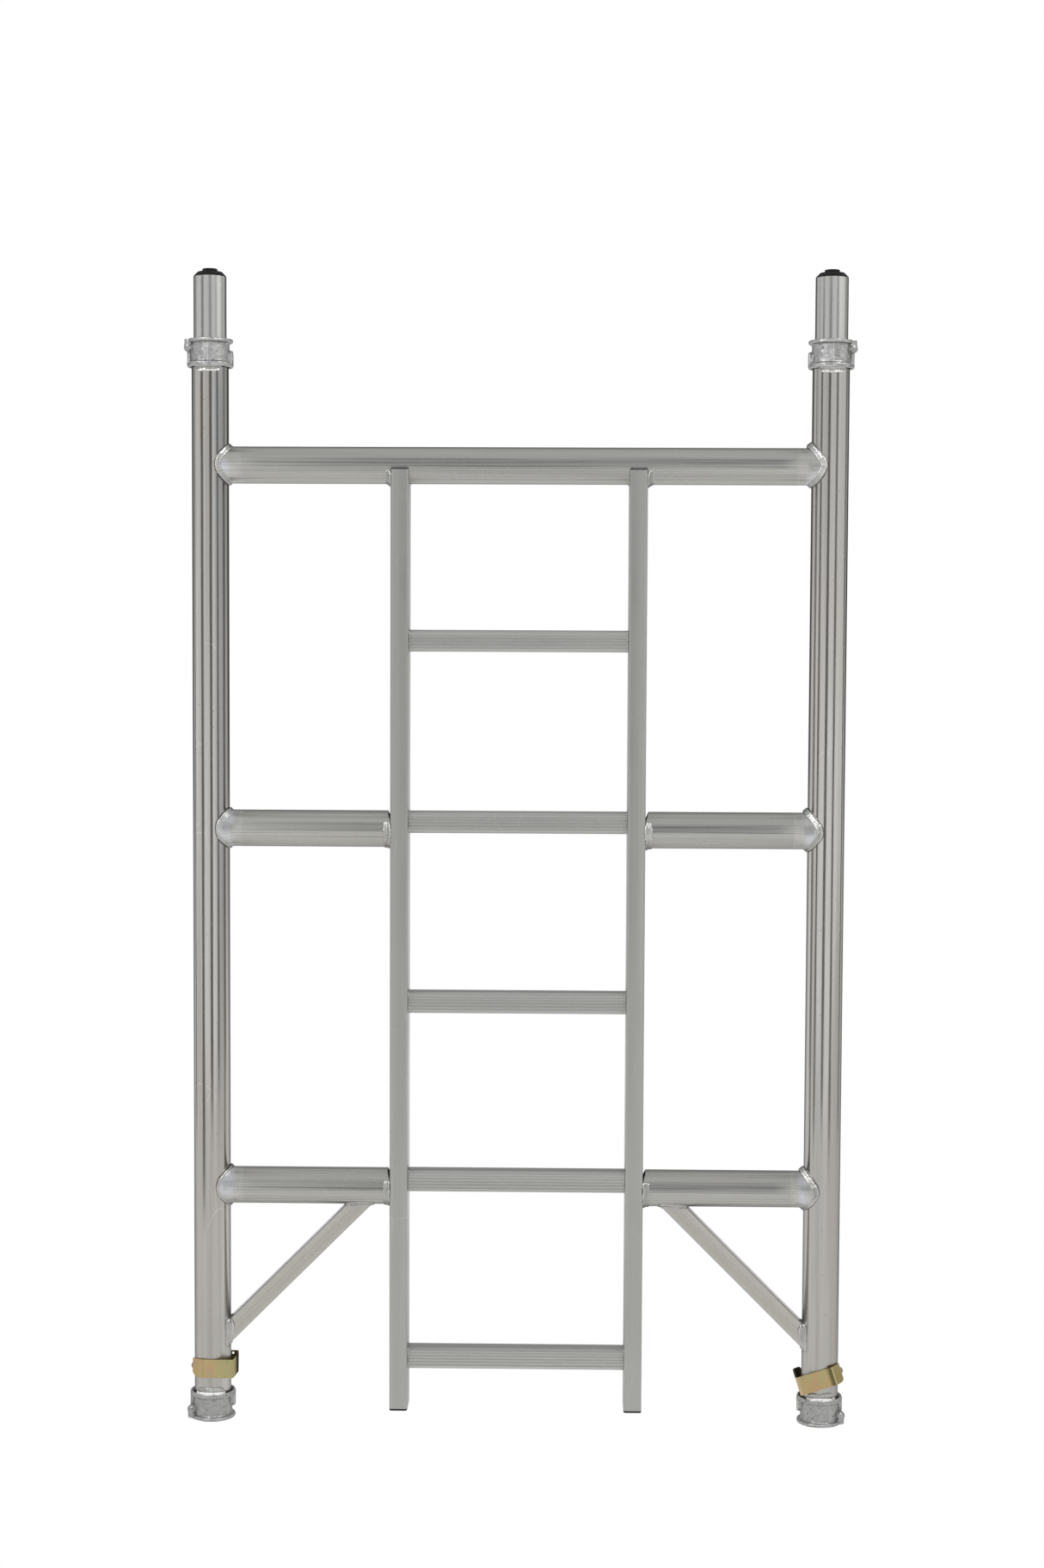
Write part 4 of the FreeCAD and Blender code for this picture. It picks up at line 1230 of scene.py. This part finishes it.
# ------------------------------------------------------------------ collars
def soften_collar(ob, lumps):
    """Give a loaded collar the rounded, lumpy surface of a sand casting."""
    ob.data.materials.clear()
    ob.data.materials.append(FINISHES["cast_aluminium"])
    remesh = ob.modifiers.new("remesh", "REMESH")
    remesh.mode = "VOXEL"
    remesh.voxel_size = 0.00062
    remesh.use_smooth_shade = True
    soften = ob.modifiers.new("soften", "SMOOTH")
    soften.factor = 0.5
    soften.iterations = 7
    displace = ob.modifiers.new("lumps", "DISPLACE")
    displace.texture = lumps
    displace.texture_coords = "LOCAL"
    displace.strength = 0.0009
    displace.mid_level = 0.5


cast_lumps = bpy.data.textures.new("cast_lumps", "CLOUDS")
cast_lumps.noise_scale = 0.006
cast_lumps.noise_depth = 2
for place in ("foot", "top"):
    for word, _ in SIDES:
        soften_collar(frame["nodes"][f"{word}_{place}_collar"], cast_lumps)

# ------------------------------------------------------------------ clips
# A clip is built about its standard's axis at pin height, with +x away from the frame.
STRAP_H, STRAP_T = 25.3, 1.5
STRAP_Y = 28.0 + STRAP_T / 2        # front and rear arms, mid-thickness
PLATE_X = {"left": 26.7, "right": 29.2}     # plate that carries the pin
BACK_X = {"left": 31.2 + STRAP_T / 2, "right": 32.7 + STRAP_T / 2}  # inner end of the strap
HINGE_X = HALF_WIDTH + TUBE_R - WALL / 2
LEFT_TILT, RIGHT_TILT, RIGHT_DROOP = 7.0, 8.0, 18.0         # degrees


def turned(x, degrees, axis):
    """Turn about the pin hole at x."""
    hinge = Vector((x, 0, PIN_Z))
    turn = Matrix.Rotation(math.radians(degrees), 4, axis)
    return Matrix.Translation(hinge) @ turn @ Matrix.Translation(-hinge)


def clip_matrix(word):
    """From the clip's own frame to the product's, in mm."""
    place = Matrix.Translation(Vector((HALF_WIDTH, 0, PIN_Z)))
    if word == "right":
        droop = turned(HINGE_X, -RIGHT_DROOP, "Y")
        return droop @ turned(HINGE_X, -RIGHT_TILT, "X") @ place
    flip = Matrix.Scale(-1, 4, (1, 0, 0))
    return turned(-HINGE_X, -LEFT_TILT, "X") @ flip @ place


def zinc_material(name):
    """Yellow zinc plate, with painted shadow on parts of both straps."""
    sh = new_shader(name)
    blotch = sh.noise(scale=42.0, distortion=0.6)
    mottle = sh.noise(scale=75.0, shift=(5, 1, 7), distortion=0.5)
    grain = sh.noise(scale=700.0, detail=2, rough=0.5)
    band = sh.noise(scale=1.0, detail=2, rough=0.5, stretch=(42.0, 30.0, 13.0),
                    shift=(3.3, 4, 2.2), distortion=0.4)
    base = sh.ramp(band, [(0.30, (0.40, 0.40, 0.22)), (0.42, (0.49, 0.43, 0.21)),
                          (0.50, (0.55, 0.40, 0.20)), (0.57, (0.62, 0.35, 0.185)),
                          (0.66, (0.54, 0.34, 0.24)), (0.76, (0.44, 0.40, 0.24))])
    base = sh.mix(sh.remap(blotch, (0.52, 0.68), to=(0.0, 0.35)), base, (0.56, 0.36, 0.25))
    base = sh.mix(sh.remap(blotch, (0.46, 0.32), to=(0.0, 0.45)), base, (0.40, 0.44, 0.22))
    base = sh.mix(sh.remap(mottle, (0.50, 0.66), to=(0.0, 0.30)), base, (0.60, 0.50, 0.30))
    # painted highlights on ridges
    ridges = sh.geometry("Pointiness")
    base = sh.mix(sh.remap(ridges, (0.52, 0.58), to=(0.0, 0.55)), base, (0.60, 0.52, 0.26))
    # dark specks
    rare = sh.noise(scale=60.0, detail=1, rough=0.4, shift=(5, 5, 5))
    speck = sh.mul(sh.remap(sh.voronoi(scale=230.0, shift=(1, 2, 3)), (0.14, 0.07)),
                   sh.remap(rare, (0.54, 0.60)))
    base = sh.mix(sh.mul(speck, 0.5), base, (0.20, 0.17, 0.10))
    # the painted shadow below stays off rear-facing faces; faces across X take it only towards
    # grazing view
    x, y, _ = sh.split()
    normal_x, normal_y, _ = sh.split(sh.geometry("Normal"))
    unshaded_faces = sh.mul(sh.remap(sh.size(normal_x), (0.4, 0.6)), sh.remap(sh.facing(), (0.84, 0.66)))
    unshaded_faces = sh.math("MAXIMUM", unshaded_faces, sh.remap(normal_y, (0.25, 0.5)))
    shadow_faces = sh.sub(1.0, unshaded_faces)
    # painted shadow on the inner end of both straps: brown, then black towards the rear, brown
    # on the rear arm
    inner = sh.mul(shadow_faces, sh.remap(sh.size(x), (0.3985, 0.3955)))
    brown_shadow_zone = sh.remap(y, (-0.0145, -0.0120))
    base = sh.mix(sh.mul(inner, brown_shadow_zone, 0.72), base, (0.13, 0.10, 0.05))
    rear_shadow = sh.mul(inner, sh.remap(y, (0.001, 0.0045)))
    base = sh.mix(sh.mul(rear_shadow, 0.95), base, (0.010, 0.009, 0.008))
    tab_shadow = sh.mul(shadow_faces, sh.remap(y, (0.022, 0.027)))
    base = sh.mix(sh.mul(tab_shadow, 0.72), base, (0.085, 0.062, 0.03))
    # front of the right strap, in the strap's own coordinates: painted shade in the crease, a
    # greener wing, and painted highlights on the crease's ridge and the inner edge
    inverse = clip_matrix("right").inverted()

    def strap_axis(k):
        inputs = {0: sh.coord.outputs["Object"], 1: tuple(inverse[k][:3])}
        dot = sh.node("VectorMath", inputs, operation="DOT_PRODUCT").outputs["Value"]
        return sh.add(dot, inverse[k][3] * MM)

    strap_x, strap_y = strap_axis(0), strap_axis(1)
    front = sh.mul(sh.remap(x, (0.0, 0.1)), sh.remap(strap_y, (-0.012, -0.016)))
    groove = sh.mul(sh.ease(strap_x, (0.0085, 0.0150)), sh.remap(strap_x, (0.0182, 0.0168)))
    wing = sh.remap(strap_x, (0.0190, 0.0200))
    ridge_highlight = sh.mul(sh.remap(strap_x, (0.0172, 0.0180)), sh.remap(strap_x, (0.0194, 0.0186)))
    inner_edge_highlight = sh.remap(strap_x, (-0.0290, -0.0320))
    for zone, amount, color in ((groove, 0.82, (0.085, 0.085, 0.03)),
                                (wing, 0.45, (0.36, 0.36, 0.16)),
                                (ridge_highlight, 0.5, (0.70, 0.62, 0.34)),
                                (inner_edge_highlight, 0.5, (0.78, 0.58, 0.42))):
        base = sh.mix(sh.mul(front, zone, amount), base, color)
    # painted shadow on the right strap behind its front arm
    right = sh.mul(shadow_faces, sh.mul(sh.remap(x, (0.0, 0.1)), sh.remap(y, (-0.024, -0.018))))
    right = sh.mul(right, sh.remap(x, (0.430, 0.420)))
    base = sh.mix(sh.mul(right, 0.93), base, (0.014, 0.012, 0.010))
    black = sh.math("MAXIMUM", rear_shadow, right)
    roughness = sh.add(sh.remap(mottle, (0.3, 0.7), to=(0.30, 0.44)), sh.mul(black, 0.4))
    return sh.finish({"Base Color": base, "Roughness": roughness,
                      "Metallic": sh.remap(black, (0.0, 1.0), to=(0.85, 0.1)),
                      "Specular IOR Level": sh.remap(black, (0.0, 1.0), to=(0.5, 0.05)),
                      "Normal": sh.bump(grain, strength=0.10, distance=0.0002),
                      "Specular Tint": (0.6, 0.55, 0.4)})


FINISHES["yellow_zinc"] = zinc_material("yellow_zinc")


def offset_path(points, distance):
    """Open (x, y) path moved sideways to its left."""
    def normal(start, end):
        dx, dy = end[0] - start[0], end[1] - start[1]
        length = math.hypot(dx, dy)
        return -dy / length, dx / length

    normals = [normal(start, end) for start, end in zip(points, points[1:])]
    moved = []
    for (x, y), (ax, ay), (bx, by) in zip(points, normals[:1] + normals,
                                          normals + normals[-1:]):
        spread = 1 + ax * bx + ay * by
        moved.append((x + (ax + bx) / spread * distance, y + (ay + by) / spread * distance))
    return moved


def rounded_path(points, radii):
    """Path with its inner corners rounded and its straights split every 2 mm or so."""
    path = [points[0]]
    for before, corner, after, radius in zip(points, points[1:], points[2:], radii):
        back = Vector(before) - Vector(corner)
        ahead = Vector(after) - Vector(corner)
        back_x, back_y = (c / math.hypot(*exact(before, corner)) for c in exact(before, corner))
        ahead_x, ahead_y = (c / math.hypot(*exact(after, corner)) for c in exact(after, corner))
        half = math.acos(max(-1, min(1, back_x * ahead_x + back_y * ahead_y))) / 2
        tangent = radius / math.tan(half)
        mid_x, mid_y = back_x + ahead_x, back_y + ahead_y
        to_centre = radius / math.sin(half) / math.hypot(mid_x, mid_y)
        x, y = corner
        centre_x, centre_y = x + mid_x * to_centre, y + mid_y * to_centre
        start = math.atan2(y + back_y * tangent - centre_y, x + back_x * tangent - centre_x)
        end = math.atan2(y + ahead_y * tangent - centre_y, x + ahead_x * tangent - centre_x)
        turn = end - start
        while turn > math.pi:
            turn -= 2 * math.pi
        while turn < -math.pi:
            turn += 2 * math.pi
        count = max(2, int(abs(math.degrees(turn)) / 7.0 + 0.5))
        path += [(centre_x + radius * math.cos(start + turn * k / count),
                  centre_y + radius * math.sin(start + turn * k / count))
                 for k in range(count + 1)]
    path.append(points[-1])
    dense = [path[0]]
    for (x0, y0), (x1, y1) in zip(path, path[1:]):
        count = max(1, int(math.hypot(x1 - x0, y1 - y0) / 2.0))
        dense += [(x0 + (x1 - x0) * k / count, y0 + (y1 - y0) * k / count)
                  for k in range(1, count + 1)]
    return dense


def exact(end, start):
    """Difference of two (x, y) points."""
    return end[0] - start[0], end[1] - start[1]


def strap_heights(x, y, word):
    """Bottom and top of the strap at a point of its path."""
    half = STRAP_H / 2
    bottom, top = -half, half
    if x > 20:                          # rounded end that carries the pin
        top = half + (8.3 - half) * smoothstep((y + 11.5) / 7.0)
        if y > 3.5:
            top = 8.3 - 4.6 * min(1.0, (y - 3.5) / 5.6) ** 2
        bottom = -top
    ear_x = -BACK_X[word] + 12.0
    if y > 20 and x < ear_x:            # ear on the rear tab
        top = half + 4.0 * clamp((y - 24) / 4.0) * clamp((ear_x - x) / 1.5)
    if x > 12 and y < -4:               # corners rounded off on the bend
        start, end = (-20.0, -11.0) if word == "right" else (-19.0, -10.5)
        bottom = max(bottom, -half + 4.4 * smoothstep((y - start) / (end - start)))
        if word == "right":
            top = min(top, half - 4.4 * clamp((y - start - 5.0) / (end - start)) ** 2)
    return bottom, top


def place_clip_part(ob, name, word):
    ob.data.transform(Matrix.Scale(MM, 4) @ clip_matrix(word) @ Matrix.Scale(1000, 4))
    if word == "left":
        ob.data.flip_normals()
    ob.data.update()
    claim(ob, name, word + "_clip")


def build_strap(word):
    name = word + "_clip_strap"
    plate, back = PLATE_X[word], BACK_X[word]
    # corners from the pin plate round the front to the rear tab
    if word == "right":
        corners = [(plate, 9.0), (plate, -15.0), (18.4, -31.0), (14.4, -STRAP_Y + 0.75),
                   (8.0, -STRAP_Y)]
        radii = [6.0, 1.0, 2.6, 9.0, 3.0, 3.0]
    else:
        corners = [(plate, 9.0), (plate, -11.0), (12.0, -STRAP_Y)]
        radii = [12.0, 16.0, 3.0, 3.0]
    corners += [(-back, -STRAP_Y), (-back, STRAP_Y), (-17.0, STRAP_Y)]
    path = rounded_path(corners, radii)
    edge = 0.3
    faces = [offset_path(path, distance) for distance in
             (STRAP_T / 2, -STRAP_T / 2, STRAP_T / 2 - edge, -STRAP_T / 2 + edge)]
    rings = []
    for (x, y), one, two, one_in, two_in in zip(path, *faces):
        bottom, top = strap_heights(x, y, word)
        rings.append([(*one, bottom + edge), (*one, top - edge), (*one_in, top),
                      (*two_in, top), (*two, top - edge), (*two, bottom + edge),
                      (*two_in, bottom), (*one_in, bottom)])
    ob = make(name, loft(rings), "yellow_zinc", sharp=28, body=None)
    cutters = []
    if word == "left":                  # hole through the ear
        start = (-back + 7.6, STRAP_Y + 6, STRAP_H / 2 + 0.3)
        cutters.append(drill(1.65, 12, start, (0, -1, 0), 28))
    dimple = (-back + 8.0, -STRAP_Y - 3, STRAP_H / 2 - 2.6)
    cutters.append(drill(0.75, 3, dimple, (0, 1, 0), 20))
    cutters.append(drill(PIN_R + 0.1, 12, (22, 0, 0), (1, 0, 0), 32))
    cut(ob, cutters)
    place_clip_part(ob, name, word)


def build_pin(word):
    name = word + "_clip_pin"
    tip = TUBE_R - WALL - 7.0
    inside, outside = PLATE_X[word] - STRAP_T / 2, PLATE_X[word] + STRAP_T / 2
    profile = [(0.02, tip), (PIN_R - 1.4, tip), (PIN_R - 0.3, tip + 1.4), (PIN_R, tip + 2.0),
               (PIN_R, inside - 1.3)]
    if word == "right":                 # flange against the plate
        profile += [(4.1, inside - 1.25), (4.3, inside - 1.0), (4.3, inside - 0.03)]
    profile += [(PIN_R, inside - 0.02), (PIN_R, outside + 0.02), (4.0, outside + 0.03),
                (4.15, outside + 0.3), (3.9, outside + 1.1), (3.3, outside + 1.9),
                (2.3, outside + 2.5), (1.2, outside + 2.75), (0.02, outside + 2.8)]
    shape = lathe(profile, 40, (0, 0, 0), axis="X")
    ob = make(name, shape, "zinc_pin", sharp=50, body=None)
    place_clip_part(ob, name, word)


for word, _ in SIDES:
    build_strap(word)
    build_pin(word)


# ------------------------------------------------------------------ stage (metres)
def sheet(name, corners, material):
    mesh = bpy.data.meshes.new(name)
    mesh.from_pydata(corners, [], [(0, 1, 2, 3)])
    ob = bpy.data.objects.new(name, mesh)
    scene.collection.objects.link(ob)
    mesh.materials.append(material)
    return ob


def floor_material():
    """White to the camera, a little darker in reflections near the frame."""
    sh = new_shader("floor_paint")
    cloud = sh.noise(scale=3.0, rough=0.5)
    seen = sh.node("LightPath").outputs["Is Camera Ray"]
    y = sh.split()[1]
    tone = sh.ramp(cloud, [(0.3, (0.72, 0.715, 0.705)), (0.7, (0.76, 0.755, 0.745))])
    tone = sh.mix(sh.remap(y, (0.5, 1.4)), tone, (1.0, 1.0, 1.0))
    return sh.finish({"Emission Color": sh.mix(seen, tone, (1.0, 1.0, 1.0)),
                      "Emission Strength": 1.0, "Base Color": (0.0, 0.0, 0.0),
                      "Specular IOR Level": 0.0, "Roughness": 0.9})


def screen(name, x, y, width, height, bottom, tone):
    """Upright glowing panel that faces the frame and shows only in reflections."""
    material = new_shader(name).finish({
        "Base Color": (0, 0, 0), "Emission Color": (tone, tone, tone * 0.97),
        "Emission Strength": 1.0, "Roughness": 1.0, "Specular IOR Level": 0.0})
    inward = Vector((-x, -y, 0)).normalized()
    half = Vector((-inward.y, inward.x, 0)) * width / 2
    low, high = Vector((x, y, bottom)), Vector((x, y, bottom + height))
    corners = [tuple(point) for point in (low - half, low + half, high + half, high - half)]
    ob = sheet(name, corners, material)
    for ray in ("camera", "diffuse", "shadow", "transmission"):
        setattr(ob, "visible_" + ray, False)


def area_light(name, location, target, size, energy, glossy=True):
    light = bpy.data.lights.new(name, "AREA")
    light.shape = "RECTANGLE"
    light.size, light.size_y = size
    light.energy = energy
    ob = bpy.data.objects.new(name, light)
    scene.collection.objects.link(ob)
    ob.location = location
    aim = Vector(target) - Vector(location)
    ob.rotation_euler = aim.to_track_quat("-Z", "Y").to_euler()
    ob.visible_glossy = glossy
    ob.visible_camera = False
    return ob


sheet("floor", [(-9, -2.3, 0), (9, -2.3, 0), (9, 14, 0), (-9, 14, 0)],
               floor_material())

# dark screens: name, x, y, width, height, bottom, tone
for row in (
    ("screen_centre", -0.085, -2.28, 0.64, 1.95, 0.0, 0.16),
    ("screen_right", 1.62, -1.64, 0.46, 1.95, 0.0, 0.18),
    ("screen_left", -1.41, -0.96, 0.44, 1.95, 0.0, 0.18),
    ("screen_far_right", 2.4, 0.62, 0.42, 2.1, 0.0, 0.20),
    ("screen_far_left", -2.4, 0.62, 0.30, 2.1, 0.0, 0.20),
):
    screen(*row)
area_light("overhead", location=(0, 0.5, 4.2), target=(0, 0.5, 0), size=(7, 6), energy=60,
           glossy=False)
# bright cards
screen("card_right", x=2.15, y=-0.85, width=1.7, height=1.4, bottom=1.74, tone=0.98)
screen("card_left", x=-1.9, y=-1.5, width=0.9, height=2.6, bottom=0.4, tone=0.80)

# small lights that reach only the collars, welds and clips
receivers = bpy.data.collections.new("detail_receivers")
for ob in bpy.data.objects:
    if ob.type == "MESH" and any(word in ob.name for word in ("collar", "weld", "clip")):
        receivers.objects.link(ob)
# name, location, target, side of the square, energy
for name, location, target, size, energy in (
    ("rim_top_left", (-1.6, -1.6, 3.0), (0, 0, 1.0), 0.9, 24),
    ("rim_top_right", (1.5, -1.2, 3.2), (0, 0, 1.0), 0.7, 18),
    ("low_left", (-1.2, -1.5, 1.2), (-0.42, 0, 0.05), 0.5, 2.2),
    ("low_right", (0.2, -1.4, 1.3), (0.42, 0, 0.05), 0.5, 1.8),
):
    light = area_light(name, location, target, (size, size), energy)
    light.light_linking.receiver_collection = receivers


def build_world():
    """White to the camera; otherwise bright low down, with a dark band behind the frame."""
    world = bpy.data.worlds.new("studio")
    scene.world = world
    sh = Shader(world, surface="Background", output="OutputWorld")
    _, y, z = sh.split(sh.coord.outputs["Generated"])
    sky = sh.ramp(sh.remap(z, (-1.0, 1.0)), [(0.30, 0.95), (0.49, 0.90), (0.52, 0.76),
                                             (0.62, 0.66), (0.80, 0.60), (1.0, 0.58)])
    behind = sh.mul(sh.ease(y, (0.60, 0.80)), sh.sub(1.0, sh.ease(y, (0.84, 0.91))))
    sky = sh.mix(behind, sky, (0.26, 0.26, 0.26))
    seen = sh.node("LightPath").outputs["Is Camera Ray"]
    sh.finish({"Color": sh.mix(seen, sky, (1.0, 1.0, 1.0)), "Strength": 1.0})


build_world()
scene.view_settings.view_transform = "Standard"
scene.view_settings.look = "None"
scene.view_settings.exposure = 0.0
scene.view_settings.gamma = 1.0

# ------------------------------------------------------------------ camera
CAMERA_PLACE = Vector((66.04, -3400.0, 1090.5))     # mm
CAMERA_TURN = Vector((0.0583, 0.0180, 0.0050))      # rotation vector, radians


def build_camera():
    data = bpy.data.cameras.new("camera")
    data.sensor_width = 36.0
    data.lens = 56.573289474
    data.clip_end = 60
    ob = bpy.data.objects.new("camera", data)
    scene.collection.objects.link(ob)
    # rows: the camera's right, down and forward axes, before and after the turn
    level = Matrix(((1, 0, 0), (0, 0, -1), (0, 1, 0)))
    axes = Matrix.Rotation(CAMERA_TURN.length, 3, CAMERA_TURN.normalized()) @ level
    turn = Matrix((axes[0], -axes[1], -axes[2])).transposed()
    ob.matrix_world = Matrix.Translation(CAMERA_PLACE * MM) @ turn.to_4x4()
    scene.camera = ob


build_camera()
bpy.context.view_layer.update()
